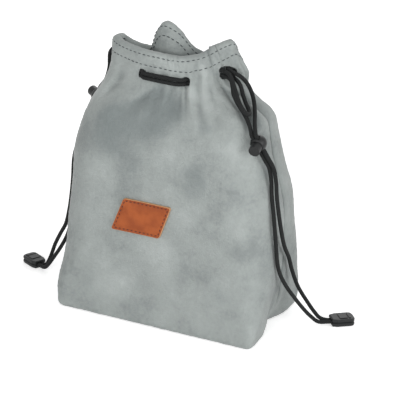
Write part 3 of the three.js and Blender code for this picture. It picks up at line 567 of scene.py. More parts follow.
def section(height_share):
    """The five values of the section table at these heights, eased between its rows."""
    rows = SECTION_SHARES[:, 0]
    i = np.clip(np.searchsorted(rows, height_share) - 1, 0, len(rows) - 2)
    span = (rows[i + 1] - rows[i])[:, None]
    t = np.clip((height_share - rows[i]) / span[:, 0], 0, 1)[:, None]
    low, high = SECTION_SHARES[i, 1:], SECTION_SHARES[i + 1, 1:]
    return (
        (2 * t**3 - 3 * t**2 + 1) * low + (t**3 - 2 * t**2 + t) * span * SLOPES[i]
        + (3 * t**2 - 2 * t**3) * high + (t**3 - t**2) * span * SLOPES[i + 1]
    )


def rounded_outline(share, half_width, half_depth, corner):
    """Places on a box with round corners at shares of the way round, from the middle of its left side."""
    turn = share % 1
    quarter = np.minimum(np.floor(turn * 4), 3)
    within = turn * 4 - quarter
    way = np.where(quarter % 2 == 0, within, 1 - within)
    side, arc = half_depth - corner, math.pi * corner / 2
    run = way * (side + arc + half_width - corner)
    angle = np.clip((run - side) / corner, 0, math.pi / 2)
    past = np.maximum(run - side - arc, 0)
    x = half_width - corner + corner * np.cos(angle) - past
    y = np.where(run < side, run, side + corner * np.sin(angle))
    return np.where((quarter == 0) | (quarter == 3), -x, x), np.where(quarter < 2, -y, y)


widest = SECTION_SHARES[SECTION_SHARES[:, 1].argmax()]
print("widest at", round(widest[0] * HEIGHT), "mm, where it is", round(widest[1] * WIDTH), "mm wide")

# %% [markdown]
# The drawn mouth is a closed outline of 24 points, with a fold at the back that comes forward. Each point
# also has the height of the rim there and the height of the cords' channel below it. A smooth curve runs
# through all four values at once.

# %% The mouth's outline
MOUTH_WIDTH, MOUTH_DEPTH = 116, 46
# Places across the width and the depth, then the heights of the rim and the channel, again as shares
MOUTH_SHARES = np.array([
    (-0.455, 0.05, 0.927, 0.852),
    (-0.476, -0.184, 0.93, 0.855),
    (-0.4, -0.359, 0.925, 0.85),
    (-0.299, -0.45, 0.9195, 0.8445),
    (-0.194, -0.5, 0.916, 0.841),
    (-0.112, -0.5, 0.914, 0.839),
    (-0.03, -0.467, 0.909, 0.834),
    (0.039, -0.413, 0.909, 0.834),
    (0.095, -0.37, 0.916, 0.841),
    (0.142, -0.348, 0.925, 0.85),
    (0.181, -0.304, 0.934, 0.858),
    (0.207, -0.261, 0.943, 0.865),
    (0.224, -0.191, 0.948, 0.868),
    (0.263, -0.076, 0.957, 0.866),
    (0.301, 0.04, 0.962, 0.857),
    (0.306, 0.18, 0.935, 0.846),
    (0.257, 0.32, 0.905, 0.835),
    (0.155, 0.345, 0.886, 0.826),
    (0.026, 0.141, 0.914, 0.823),
    (-0.069, 0, 0.984, 0.825),
    (-0.142, 0, 0.993, 0.827),
    (-0.216, 0.098, 0.909, 0.825),
    (-0.319, 0.152, 0.898, 0.825),
    (-0.385, 0.118, 0.908, 0.833),
])


def mouth(share):
    """Mouth point across the width and depth, rim height and channel height, in millimetres."""
    count = len(MOUTH_SHARES)
    place = (share % 1) * count
    i = np.floor(place).astype(int)
    t = (place - i)[:, None]
    a, b, c, d = (MOUTH_SHARES[(i + k) % count] for k in (-1, 0, 1, 2))
    curve = (2 * b + (c - a) * t + (2 * a - 5 * b + 4 * c - d) * t**2 + (3 * b - a - 3 * c + d) * t**3) / 2
    return (curve * (MOUTH_WIDTH, MOUTH_DEPTH, HEIGHT, HEIGHT)).T


_, _, rim, channel = mouth(np.linspace(0, 1, 100))
print("the rim is", round(rim.min()), "to", round(rim.max()), "mm high")

# %% [markdown]
# Between shoulder and hem the body's outline passes smoothly into the mouth's, which spreads a little
# below the cords. A share of the way round, counted from the left seam over the front, and a height then
# name any place on the wall, and the slope between two near places gives the way along it and inwards.

# %% The wall's outer face
SHOULDER, RIM = 150, 205
CORNER_PINCH, PINCH_WIDTH, PINCH_HEIGHT = 8, 14, 16
CHANNEL_DROP = 16.5
GATHER_START, GATHER_LENGTH = 0.12, 0.62
FLARE, FLARE_LENGTH, FLARE_SHIFT = 0.12, 0.28, 0.031
MOUTH_CENTRE = (-0.078 * MOUTH_WIDTH, -0.13 * MOUTH_DEPTH)
BASE_ROUND = 4
PROBE = 0.012


def soft_step(value):
    """From 0 to 1 with soft ends."""
    t = np.clip(value, 0, 1)
    return t * t * (3 - 2 * t)


def surface(share, height):
    """The wall's outer face at shares of the way round and heights, without folds."""
    mouth_x, mouth_y, _, channel = mouth(share)
    gather = np.maximum((height - SHOULDER) / (channel + CHANNEL_DROP - SHOULDER), 0)
    level = np.where(height <= SHOULDER, height, SHOULDER + np.minimum(gather, 1) * (RIM - SHOULDER))
    width, depth, corner, lean_x, lean_y = section(level / HEIGHT).T
    half_width, half_depth = width * WIDTH / 2, depth * DEPTH / 2
    corner = np.minimum(corner * DEPTH / 2, half_depth * CORNER_LIMIT)
    x, y = rounded_outline(share, half_width, half_depth, corner)
    x, y = x + lean_x * WIDTH / 2, y + lean_y * DEPTH / 2
    x = x - np.sign(x) * CORNER_PINCH * np.exp(-((y / PINCH_WIDTH) ** 2) - (height / PINCH_HEIGHT) ** 2)
    flare = np.clip((1 - gather) / FLARE_LENGTH, 0, 1)
    spread = 1 + FLARE * flare
    drawn_x = MOUTH_CENTRE[0] + (mouth_x - MOUTH_CENTRE[0]) * spread + FLARE_SHIFT * MOUTH_WIDTH * flare
    drawn_y = MOUTH_CENTRE[1] + (mouth_y - MOUTH_CENTRE[1]) * spread
    weight = soft_step((gather - GATHER_START) / GATHER_LENGTH)
    return np.stack([x + (drawn_x - x) * weight, y + (drawn_y - y) * weight, height], axis=1)


def directions(share, height):
    """The way along the wall and the way into it, both level."""
    along = surface(share + PROBE, height) - surface(share - PROBE, height)
    along[:, 2] = 0
    along /= np.linalg.norm(along, axis=1)[:, None]
    return along, np.stack([-along[:, 1], along[:, 0], np.zeros(len(along))], axis=1)


def as_rows(*values):
    """Numbers and rows of numbers as rows of one length."""
    return [np.array(v, float) for v in np.broadcast_arrays(*(np.atleast_1d(v) for v in values))]


def pace(share, height):
    """Millimetres of wall in one whole turn, as it runs at this place."""
    ends = surface(*as_rows([share - PROBE, share + PROBE], height))
    return np.linalg.norm(ends[1] - ends[0]) / (2 * PROBE)


for height in (20, 100, 180):
    print("at height", height, "the front runs", round(pace(0.25, height)), "mm in a turn")


# %% [markdown]
# Folds are what make padded cloth look like cloth. Each fold is a line on the wall from one place to
# another, where the cloth sinks in. It is deepest near its start and fades out. The large folds are those
# of the solids, and the fine ones are creases, soft dents and the small tucks of the hem.

# %% Fold lines
# Start share and height, end share and height, depth, breadth
LARGE_FOLDS = (
    (0.216, 178, 0.131, 150, 1.8, 6),
    (0.262, 180, 0.268, 150, 2.2, 5.5),
    (0.43, 178, 0.375, 145, -1.3, 6),
    (0.462, 180, 0.405, 148, 2.5, 6),
    (0.5, 178, 0.525, 145, 2, 6),
    (0.458, 152, 0.519, 126, 1.8, 6),
    (0.472, 14, 0.488, 60, 2, 7),
    (0.028, 14, 0.012, 60, 1.8, 7),
    (0.528, 14, 0.512, 60, 1.8, 7),
    (0.972, 14, 0.988, 60, 1.8, 7),
    (0.575, 178, 0.585, 125, 1.8, 7),
    (0.64, 178, 0.625, 120, 1.6, 7),
    (0.72, 178, 0.715, 115, 2, 7),
    (0.79, 178, 0.8, 110, 2, 7),
    (0.86, 178, 0.87, 120, 1.6, 7),
)
FINE_FOLDS = (
    (0.288, 183, 0.295, 156, 2.3, 1.8),
    (0.2, 176, 0.15, 158, 1.1, 2.5),
    (0.44, 180, 0.43, 150, 1.6, 2.4),
    (0.318, 182, 0.335, 148, 1.5, 3),
    (0.245, 181, 0.238, 156, 1.4, 2.2),
    (0.273, 182, 0.278, 150, 1.3, 1.8),
    (0.105, 180, 0.075, 150, 1.5, 4),
    (0.37, 180, 0.35, 140, 1.3, 4),
    (0.303, 190, 0.31, 152, -1.7, 3.2),
    (0.42, 208, 0.412, 180, 1.5, 2.2),
    (0.235, 202, 0.238, 186, 0.9, 1.1),
    (0.246, 202, 0.248, 186, 0.9, 1.1),
    (0.257, 202, 0.258, 186, 0.9, 1.1),
    (0.268, 202, 0.268, 186, 0.9, 1.1),
    (0.385, 74, 0.334, 61, 0.9, 5),
    (0.351, 46, 0.36, 40, 0.9, 5),
    (0.28, 120, 0.3, 100, 0.8, 7),
    (0.1, 100, 0.12, 80, 0.8, 8),
    (0.2, 30, 0.24, 26, 0.8, 6),
    (0.09, 30, 0.085, 60, 1.2, 6),
    (0.957, 146, 0.967, 108, 1.3, 8),
    (0.62, 90, 0.66, 60, 0.9, 8),
    (0.82, 80, 0.78, 50, 0.9, 8),
)
GIRTH_LOW, GIRTH_HIGH = 485, 300
GIRTH_START, GIRTH_SPAN = 90, 95
FOLD_LEAD, FOLD_GROWTH = 0.15, 0.2


def girth(height):
    """About how many millimetres one turn has at a height."""
    return GIRTH_LOW + (GIRTH_HIGH - GIRTH_LOW) * soft_step((height - GIRTH_START) / GIRTH_SPAN)


def turn_between(share, other):
    """Signed share of a turn from one place to another, the short way round."""
    return (share - other + 0.5) % 1 - 0.5


def sum_of(table, share, height):
    """How far all folds of a table sink in at these places."""
    total = np.zeros_like(share)
    for start_share, start_height, end_share, end_height, depth, breadth in table:
        middle = girth((start_height + end_height) / 2)
        x, y = turn_between(share, start_share) * middle, height - start_height
        way_x, way_y = turn_between(end_share, start_share) * middle, end_height - start_height
        length = math.hypot(way_x, way_y)
        t = (x * way_x + y * way_y) / length**2
        off = (x * way_y - y * way_x) / length / breadth
        strength = soft_step((t + FOLD_LEAD) / FOLD_GROWTH)
        strength = strength * (1 - soft_step((t - FOLD_LEAD) / (1 - FOLD_LEAD)))
        total = total + depth * strength * np.exp(-off**2)
    return total


print(len(LARGE_FOLDS), "large folds and", len(FINE_FOLDS), "fine ones")

# %% [markdown]
# Painted shade and painted light are soft round spots at chosen places, which make the cloth darker or
# paler there. The plush takes them up later as an attribute of its points.

# %% Painted shade and light
# Share, height, radius, and strength, which paints shade above zero and light below
SHADE_AND_LIGHT_SPOTS = (
    (0.248, 163, 15, 0.9), (0.204, 172, 9, 0.5), (0.16, 140, 16, 0.7), (0.175, 158, 11, 0.6),
    (0.323, 122, 11, 0.7), (0.344, 157, 7, 0.6), (0.128, 156, 11, 0.6), (0.229, 147, 12, 0.4),
    (0.359, 37, 9, 0.4), (0.139, 26, 12, 0.4), (0.2, 122, 10, 0.3), (0.31, 108, 9, 0.4),
    (0.38, 74, 10, 0.3), (0.45, 163, 8, 0.7), (0.46, 128, 11, 0.6), (0.44, 60, 12, 0.3),
    (0.063, 168, 12, -0.5), (0.356, 172, 8, -0.8), (0.308, 176, 6, -0.8), (0.36, 150, 8, -0.4),
    (0.12, 180, 9, -0.3), (0.27, 135, 9, -0.5), (0.37, 189, 9, -0.6), (0.256, 60, 18, -0.5),
    (0.196, 30, 14, -0.4), (0.4, 145, 8, -0.5), (0.3, 90, 12, -0.4), (0.12, 90, 16, -0.4),
    (0.65, 150, 16, 0.6), (0.72, 90, 18, 0.5), (0.8, 130, 15, 0.5), (0.9, 60, 16, 0.4),
    (0.6, 50, 14, -0.4), (0.86, 160, 12, -0.4), (0.76, 40, 18, -0.4),
)


def shade_and_light(share, height):
    """Painted shade above zero, painted light below."""
    total = np.zeros_like(share)
    for middle, level, radius, strength in SHADE_AND_LIGHT_SPOTS:
        way = turn_between(share, middle) * girth(np.array([level]))[0]
        total = total + strength * np.exp(-(way**2 + (height - level) ** 2) / radius**2)
    return total


# The spots are painted shade and painted light
print(len(SHADE_AND_LIGHT_SPOTS), "brushed places")

# %% [markdown]
# The whole wall follows its folds, so that plush, foam and lining keep their order. To the fold lines come
# the soft swell of the padding, the valley at each side seam, the pleats that the drawn cords press into
# the cloth, which leave the cords' own openings calm, and a shallow groove under each row of stitches.

# %% Folds on the wall
OPENING_SHARES = (0, 0.158, 0.288, 0.5)
SEAM_SHARES = (0, 0.5)
FOLDS_END, FOLDS_FADE, BASE_FADE = 4, 12, 16
SWELL, SWELL_SIZE, SWELL_SEED = 0.9, 34, 3
SEAM_VALLEY, SEAM_WIDTH = 1.5, 2.2
PLEATS, PLEAT_DEPTH, PLEAT_ABOVE, PLEAT_BELOW = 21, 0.75, 9, 24
PLEAT_DRIFT, DRIFT_WAVES, DRIFT_START = 0.35, 3, 1
OPENING_CALM = 9
STITCH_ROWS = (3, 10)
STITCH_GROOVE, GROOVE_WIDTH = 0.35, 0.9


def soft_noise(points, size, seed):
    """Smooth noise from about -1 to 1 whose lumps are about this many millimetres across."""
    shift = Vector((seed, -seed, 2 * seed))
    return np.array([noise.noise(Vector(p) / size + shift) for p in points.tolist()])


def folds(share, height):
    """How far the cloth sinks in at these places."""
    _, _, rim, channel = mouth(share)
    below = soft_step((channel - FOLDS_END - height) / FOLDS_FADE)
    total = sum_of(LARGE_FOLDS, share, height) * below + sum_of(FINE_FOLDS, share, height)
    lively = below * soft_step((height - BASE_ROUND) / BASE_FADE)
    total = total + SWELL * lively * soft_noise(surface(share, height), SWELL_SIZE, SWELL_SEED)
    calm = np.ones_like(share)
    for opening in OPENING_SHARES:
        off = turn_between(share, opening) * girth(height)
        calm = calm * (1 - np.exp(-((off / OPENING_CALM) ** 2)))
        if opening in SEAM_SHARES:
            total = total + SEAM_VALLEY * lively * np.exp(-((off / SEAM_WIDTH) ** 2))
    rise = height - channel
    near = np.exp(-((rise / np.where(rise > 0, PLEAT_ABOVE, PLEAT_BELOW)) ** 2))
    drift = PLEAT_DRIFT * np.sin(2 * math.pi * DRIFT_WAVES * share + DRIFT_START)
    wave = np.sin(2 * math.pi * (PLEATS * share + drift))
    total = total + PLEAT_DEPTH * near * calm * (1 + wave)
    for row in STITCH_ROWS:
        total = total + STITCH_GROOVE * np.exp(-(((rim - row - height) / GROOVE_WIDTH) ** 2))
    return total


def wall(share, height, depth, shift=0):
    """Place in or on the wall: depth counts inwards from the plush face, shift along the wall."""
    share, height, depth, shift = as_rows(share, height, depth, shift)
    along, inward = directions(share, height)
    sunk = depth + folds(share, height)
    return surface(share, height) + inward * sunk[:, None] + along * shift[:, None]


front = wall([0.2, 0.3], 100, 0)
print("the front wall at half height lies", np.round(-front[:, 1], 1), "mm before the middle")

# %% [markdown]
# Plush skin, foam and lining are each cut in two halves. Every half is a sheet that runs from the middle
# of the floor round the base edge and up the wall. The skin goes on over the rim and comes down inside as
# the folded hem. A sheet's second map coordinate says how far along that way a point is, and each stretch
# of the way has its own number of rows, with the most where the cloth is gathered.

# %% Laying out a layer
PLUSH, FOAM, LINING, LAYER_GAP, SEAM_GAP = 1.2, 3.9, 1.2, 0.3, 0.3
WALL = PLUSH + FOAM + LINING + 2 * LAYER_GAP
FLOOR_SEAM = 0.76
HEM_ROUND = WALL / 2
HEM_CLEARANCE = 4.5
LINING_TOP, FOAM_TOP = 3.6, -7.5
HEM_ZONE = 14
EDGE = 1e-6
# Rows on the floor, base edge, wall and hem zone, and for the skin on the rim and inside of the hem
SKIN_COLUMNS, SKIN_ROWS = 152, (16, 6, 120, 50, 10, 16)
LINER_COLUMNS, LINER_ROWS = 110, (16, 4, 100, 18)


def layer_place(half, outer_depth, rows, top_rise):
    """Functions that place a flat sheet as one half of a layer, and that give its height and depth."""
    stops = np.cumsum([0, *rows]) / sum(rows)
    with_hem = len(rows) > 4
    corner = max(BASE_ROUND, outer_depth)
    radius = corner - outer_depth

    def stretch(v, part):
        return np.clip((v - stops[part]) / (stops[part + 1] - stops[part]), 0, 1)

    def height_depth(share, v):
        _, _, rim, channel = mouth(share)
        zone = channel - HEM_ZONE
        top = rim - HEM_ROUND if with_hem else channel + top_rise
        turn = stretch(v, 1) * math.pi / 2
        height = corner - radius * np.cos(turn)
        depth = corner - radius * np.sin(turn)
        height = height + stretch(v, 2) * (zone - corner) + stretch(v, 3) * (top - zone)
        if with_hem:
            over = stretch(v, 4) * math.pi
            height = height + HEM_ROUND * np.sin(over) - stretch(v, 5) * (top - channel - HEM_CLEARANCE)
            depth = depth + HEM_ROUND * (1 - np.cos(over))
        return height, depth

    def place(u, v):
        share = (half + u) / 2
        shift = (np.where(u < EDGE, 1, 0) - np.where(u > 1 - EDGE, 1, 0)) * SEAM_GAP / 2
        height, depth = height_depth(share, v)
        at = wall(share, np.maximum(height, corner), depth, shift)
        at[:, 2] = height
        way = 1 if half else -1
        across = (2 * u - 1) * (FLOOR_SEAM * WIDTH / 2 - outer_depth)
        middle = np.stack([-way * across, np.full_like(u, way * SEAM_GAP / 2), height], axis=1)
        on_floor = (1 - stretch(v, 0))[:, None]
        return at + (middle - at) * on_floor

    return place, height_depth


print("wall", round(WALL, 1), "mm thick, skin of", SKIN_COLUMNS, "by", sum(SKIN_ROWS), "squares a half")

# %% [markdown]
# The openings for the cords are cut while a sheet is still flat. Faces near an opening are divided, those
# inside it are deleted, and the points around it are drawn to its outline, an oval with full corners.

# %% Cord openings
# Share of the turn, width and height of each opening in the channel
OPENINGS = ((0, 15, 8.4), (0.158, 6.2, 6.8), (0.288, 6.2, 6.8), (0.5, 15, 8.4))
OVAL_POWER = 3
FAR_OFF = 9
CUT_MARGIN = 0.3
FLAT_PROBE = 0.001


def cut_openings(bm, half, height_depth):
    """Cuts the cord openings into the flat sheet of one half."""
    turned = [(share + 1, width, height) for share, width, height in OPENINGS]
    for share, width, height in (*OPENINGS, *turned):
        if not half <= 2 * share <= half + 1:
            continue
        half_turn = width / 2 / pace(share, mouth(np.array([share]))[3][0])

        def from_outline(verts):
            """1 on the outline of the opening, less inside it, and the rise above its middle."""
            flat = np.array([v.co[:2] for v in verts])
            turns = (half + flat[:, 0]) / 2
            level, depth = height_depth(turns, flat[:, 1])
            across = turn_between(turns, share) / half_turn
            rise = level - mouth(turns)[3]
            oval = np.abs(across) ** OVAL_POWER + np.abs(rise / height * 2) ** OVAL_POWER
            return np.where(depth > HEM_ROUND, FAR_OFF, oval ** (1 / OVAL_POWER)), rise

        for finer in (2, 1):
            bm.verts.index_update()
            near, _ = from_outline(bm.verts)
            reach = 1 + CUT_MARGIN * finer
            close = [e for e in bm.edges if min(near[v.index] for v in e.verts) < reach]
            bmesh.ops.subdivide_edges(bm, edges=close, cuts=finer, use_grid_fill=True)
        bm.verts.index_update()
        near, _ = from_outline(bm.verts)
        gone = [f for f in bm.faces if np.mean([near[v.index] for v in f.verts]) < 1]
        ring = {v for f in gone for v in f.verts}
        bmesh.ops.delete(bm, geom=gone, context="FACES")
        ring = [v for v in ring if v.is_valid]
        near, rise = from_outline(ring)
        flat = np.array([v.co[:2] for v in ring])
        turns = (half + flat[:, 0]) / 2
        above, below = (height_depth(turns, flat[:, 1] + step)[0] for step in (FLAT_PROBE, -FLAT_PROBE))
        slope = (above - below) / 2 / FLAT_PROBE
        for vert, radius, lift, steep in zip(ring, near, rise, slope):
            vert.co.x += (1 / radius - 1) * (vert.co.x - (2 * share - half))
            vert.co.y += (1 / radius - 1) * lift / steep


print(len(OPENINGS), "openings, the side ones", OPENINGS[0][1], "by", OPENINGS[0][2], "mm")

# %% [markdown]
# Each half is then made from its flat sheet, and Solidify gives it its thickness. Two attributes are kept
# on the points for the finish: how far the cloth is sunk there, for painted shade in the folds, and the
# painted spots of shade and light. Last, the skin gets soft tufts along its normals, which break up its
# outline as a pile does.

# %% Making a layer
TUFT_SIZE, TUFT_HEIGHT, TUFT_SEED = 3.6, 0.28, 7
FINER_SHARE, FINER_SEED = 0.6, 5


def layer_piece(name, half, outer_depth, thickness, finish, top_rise=None):
    """One half of a layer. Without a top of its own it is the skin, with openings and a hem."""
    is_skin = top_rise is None
    rows = SKIN_ROWS if is_skin else LINER_ROWS
    place, height_depth = layer_place(half, outer_depth, rows, top_rise)

    def prepare(bm):
        if is_skin:
            cut_openings(bm, half, height_depth)
        flat = np.array([v.co[:2] for v in bm.verts])
        share = (half + flat[:, 0]) / 2
        height, _ = height_depth(share, flat[:, 1])
        for word, work in (("sunk", folds), ("shade_and_light", shade_and_light)):
            layer = bm.verts.layers.float.new(word)
            for vert, value in zip(bm.verts, work(share, np.maximum(height, BASE_ROUND)).tolist()):
                vert[layer] = value

    bm = sheet_bmesh(SKIN_COLUMNS if is_skin else LINER_COLUMNS, sum(rows), place, prepare)
    piece = link(name, write_mesh(name, bm), finish.material)
    solid = piece.modifiers.new("thickness", "SOLIDIFY")
    solid.thickness = thickness * MM
    solid.offset = -1
    return piece


def roughen(piece, seed):
    """Raises soft tufts along the normals of a sheet, before it gets its thickness."""
    mesh = piece.data
    spots, normals = (np.zeros(len(mesh.vertices) * 3) for _ in range(2))
    mesh.vertices.foreach_get("co", spots)
    mesh.vertices.foreach_get("normal", normals)
    spots, normals = spots.reshape(-1, 3), normals.reshape(-1, 3)
    lumps = soft_noise(spots / MM, TUFT_SIZE, seed)
    lumps = lumps + FINER_SHARE * soft_noise(spots / MM, TUFT_SIZE / 2, seed + FINER_SEED)
    spots = spots + normals * (lumps * TUFT_HEIGHT * MM)[:, None]
    mesh.vertices.foreach_set("co", spots.ravel())
    mesh.update()


print("tufts of about", TUFT_SIZE, "mm, raised by about", TUFT_HEIGHT, "mm")

# %% [markdown]
# The plush is a knitted cloth with a short, dense pile, a mid grey with paler and darker patches. Broad and
# small noise mix three greys. Painted shade darkens the cloth where its folds sink in, and soft spots add
# painted shade and painted light. A fine noise bends the surface normal as single tufts do. Sheen gives the
# pale edge of a pile that is seen from the side. The lining is a thinner brushed cloth, and the foam has an
# open skin of small pores.

# %% Cloth finishes
# Painted shade in the folds: how strongly the cloth is darkened, and the grey it is darkened towards
FOLD_SHADE = 0.5
FOLD_SHADE_GREY = (92, 99, 99)
# Painted shade and light in the spots: how strongly they count, and the greys of shade and of light
SPOT_STRENGTH = 0.75
SPOT_SHADE_GREY, SPOT_LIGHT_GREY = (116, 124, 124), (178, 184, 182)


def cloth_finish(name, greys, sizes, depth, sheen):
    """A brushed cloth of three greys with painted shade and light. Sizes are of a patch, a fleck and a pile
    tuft.
    """
    patch, fleck, pile = sizes
    dark, middle, light = (paint(*grey) for grey in greys)
    finish = new_finish(name, {"Roughness": 0.95, "Sheen Weight": sheen, "Sheen Roughness": 0.45})
    broad = finish.noise(patch, 3)
    small = finish.noise(patch / 3.5, 2, distortion=0.6)
    tone = broad * 0.6 + small * 0.22 + finish.noise(fleck) * 0.18
    colour = finish.mix(finish.ramp(tone, 0.34, 0.54), dark, middle)
    colour = finish.mix(finish.ramp(tone, 0.5, 0.7), colour, light)
    # Painted shade: the cloth is darker where its folds sink in
    sunk = finish.node("ShaderNodeAttribute", {"attribute_name": "sunk"}, {}, "Fac")
    colour = finish.mix(finish.ramp(sunk, 0.5, 3) * FOLD_SHADE, colour, paint(*FOLD_SHADE_GREY))
    # Painted shade and light from the spots, broken up by the small noise
    lie = finish.node("ShaderNodeAttribute", {"attribute_name": "shade_and_light"}, {}, "Fac") + (small - 0.5) * 0.9
    colour = finish.mix(finish.ramp(lie, 0.05, 0.9) * SPOT_STRENGTH, colour, paint(*SPOT_SHADE_GREY))
    colour = finish.mix(finish.ramp(0 - lie, 0.05, 0.8) * SPOT_STRENGTH, colour, paint(*SPOT_LIGHT_GREY))
    finish.feed({"Base Color": colour})
    finish.bump(finish.noise(pile) * 0.6 + finish.noise(pile * 3) * 0.4, depth)
    print(name, "with flecks of", fleck, "mm")
    return finish


plush = cloth_finish(
    "grey_plush", ((134, 140, 139), (154, 160, 158), (168, 174, 172)), (30, 2.2, 0.9), 0.8, 0.3
)
lining = cloth_finish(
    "brushed_lining", ((118, 125, 124), (138, 145, 144), (154, 160, 159)), (20, 1.6, 0.6), 0.2, 0.25
)
open_cells = cloth_finish(
    "open_cell_foam", ((196, 194, 184), (214, 212, 204), (226, 224, 218)), (16, 1.4, 0.8), 0.3, 0
)

# %% [markdown]
# Now both halves of all three layers are made, from the outside inwards. The cloth layers are declared
# with the size that they were cut to: the area of the finished sheet with five per cent for its seams, on
# a strip as wide as half the girth.

# %% The six halves
CUT_WIDTH = 260
for half, side in enumerate(("front", "back")):
    skin = layer_piece(f"{side}_plush", half, 0, PLUSH, plush)
    roughen(skin, TUFT_SEED + half)
    stand_for(skin, f"outer_{side}_panel")
    foam = layer_piece(f"{side}_foam", half, PLUSH + LAYER_GAP, FOAM, open_cells, FOAM_TOP)
    stand_for(foam, f"padding_{side}")
    inner = layer_piece(f"{side}_lining", half, WALL - LINING, LINING, lining, LINING_TOP)
    stand_for(inner, f"lining_{side}")
    for piece in (skin, inner):
        wide = CUT_WIDTH * MM

# %% [markdown]
# Inside the hem the cords lie one above the other in their channel. The right cord runs once round the
# pouch. The left cord is in two stretches, and all of them turn out through the openings at the side
# seams. On the front both cords come out of one slit, cross the cloth and go back in at the next one. The
# places are given as depth in the wall, in cord diameters, so that the cord keeps to the gathered cloth.

# %% Places in the channel
CHANNEL_DEPTH = 3.52
RISE, CLOSER, OUTSIDE = 1.9, 0.83, 1
RUN_MARGIN, RUN_STEP, SWAP_SHARE = 0.006, 0.008, 0.018
LEFT_SEAM, LEFT_SLIT, RIGHT_SLIT, RIGHT_SEAM = OPENING_SHARES
# Way along the wall and depth, in cord diameters. The turns' last three points leave the wall sideways
TURN = ((3.2, 1.15), (2.3, 1.13), (1.6, 0.85), (1, 0.35), (0.72, -0.35), (0.67, -1.1))
TURN_ON_WALL = 3
SLIT = ((-1.9, 1.15), (-1.1, 1.08), (-0.45, 0.6), (0, 0.06), (0.45, -0.46), (1.1, -0.84), (1.9, -0.92))


def channel_pace(share):
    return pace(share, mouth(np.array([share % 1]))[3][0])


def channel_point(share, rise, depth=CHANNEL_DEPTH, shift=0):
    return wall(share, mouth(np.array([share]))[3] + rise, depth, shift)[0]


def turn_out(seam, side, rise):
    """From the channel out through the opening at a side seam."""
    points = []
    for i, (way, depth) in enumerate(TURN):
        distance = side * way * CORD
        if i < TURN_ON_WALL:
            points.append(channel_point(seam + distance / channel_pace(seam), rise, depth * CORD))
        else:
            points.append(channel_point(seam, rise, depth * CORD, distance))
    return points


def channel_run(start, end, rise):
    return [channel_point(share, rise) for share in np.arange(start, end, RUN_STEP)]


def slit_pass(slit, direction, rise):
    """The two cords draw closer together where they lie outside."""
    step = direction * CORD / channel_pace(slit)
    return [
        channel_point(slit + way * step, rise * (CLOSER if depth < OUTSIDE else 1), depth * CORD)
        for way, depth in SLIT[::direction]
    ]


def reach(share, table):
    return abs(table[0][0]) * CORD / channel_pace(share) + RUN_MARGIN


def front_run(start, rise):
    return [
        *channel_run(start, LEFT_SLIT - reach(LEFT_SLIT, SLIT), rise),
        *slit_pass(LEFT_SLIT, 1, rise),
        *slit_pass(RIGHT_SLIT, -1, rise),
        *channel_run(RIGHT_SLIT + reach(RIGHT_SLIT, SLIT), RIGHT_SEAM - reach(RIGHT_SEAM, TURN), rise),
    ]


print("a turn out of the channel takes", round(reach(RIGHT_SEAM, TURN), 3), "of the way round")

# %% [markdown]
# With these places each cord is one list of points. The right cord changes from the upper place to the
# lower one behind the left seam, and both stretches of the left cord leave room for it.

# %% Cords in the channel
after_right = RIGHT_SEAM + reach(RIGHT_SEAM, TURN)
before_left = 1 - reach(LEFT_SEAM, TURN)
CHANNEL_CORDS = {
    "drawstring_right_channel": [
        *turn_out(RIGHT_SEAM, 1, RISE)[::-1],
        *channel_run(after_right, 1 - SWAP_SHARE, RISE),
        channel_point(1, 0),
        channel_point(1 + SWAP_SHARE, -RISE),
        *front_run(SWAP_SHARE + RUN_STEP, -RISE),
        *turn_out(RIGHT_SEAM, -1, -RISE),
    ],
    "drawstring_left_channel_front": [
        *turn_out(LEFT_SEAM, 1, RISE)[::-1],
        *front_run(reach(LEFT_SEAM, TURN), RISE),
        *turn_out(RIGHT_SEAM, -1, RISE),
    ],
    "drawstring_left_channel_back": [
        *turn_out(RIGHT_SEAM, 1, -RISE)[::-1],
        *channel_run(after_right, before_left, -RISE),
        *turn_out(1, -1, -RISE),
    ],
}
for name, points in CHANNEL_CORDS.items():
    piece, line = braided_cord(name + "_braid", name, points)
    cord_pieces.append(piece)
    print(piece.name, round(run_along(line)[-1]), "mm")

# %% [markdown]
# The cord is black, but not flat black: a painted highlight lies on the crown of each strand of the braid,
# with a fine fibre noise. The material follows the same two waves as the shape, on the map that was kept
# while the sheet was rolled.

# %% Cord finish
cord_finish = new_finish("black_braid", {"Roughness": 0.85, "Specular IOR Level": 0.25})
around = cord_finish.map_axis("X") * (2 * math.pi * BRAID_STRANDS)
along = cord_finish.map_axis("Y") * (math.pi * BRAID_STRANDS / BRAID_PITCH)
crown = (around + along).sine().larger((around - along).sine()) * 0.5 + 0.5
fibre = cord_finish.noise(0.5)
# Painted highlight on the crown of each strand, mixed with fibre noise
highlight_and_fibre = cord_finish.ramp(crown * 0.8 + fibre * 0.4, 0.5, 1.15)
cord_finish.feed({"Base Color": cord_finish.mix(highlight_and_fibre, paint(10, 11, 11), paint(42, 44, 44))})
cord_finish.bump(crown * 0.6 + fibre * 0.4, 0.12)
for piece in cord_pieces:
    piece.data.materials.append(cord_finish.material)
print(len(cord_pieces), "cord pieces in", cord_finish.material.name)

# %% [markdown]
# Two rows of stitches hold the folded hem, one near the rim and one above the channel. Each stitch is a
# short, thin bead that lies along the row, half sunk into the plush. Their places come from a fine line
# round the hem, stepped off at the stitch length.

# %% Stitches
BEAD_SIDES = (6, 4)


def thread(name, dark, light, roughness):
    finish = new_finish(name, {"Roughness": roughness})
    twist = finish.noise(0.35)
    finish.feed({"Base Color": finish.mix(twist, paint(*dark), paint(*light))})
    finish.bump(twist, 0.08)
    return finish


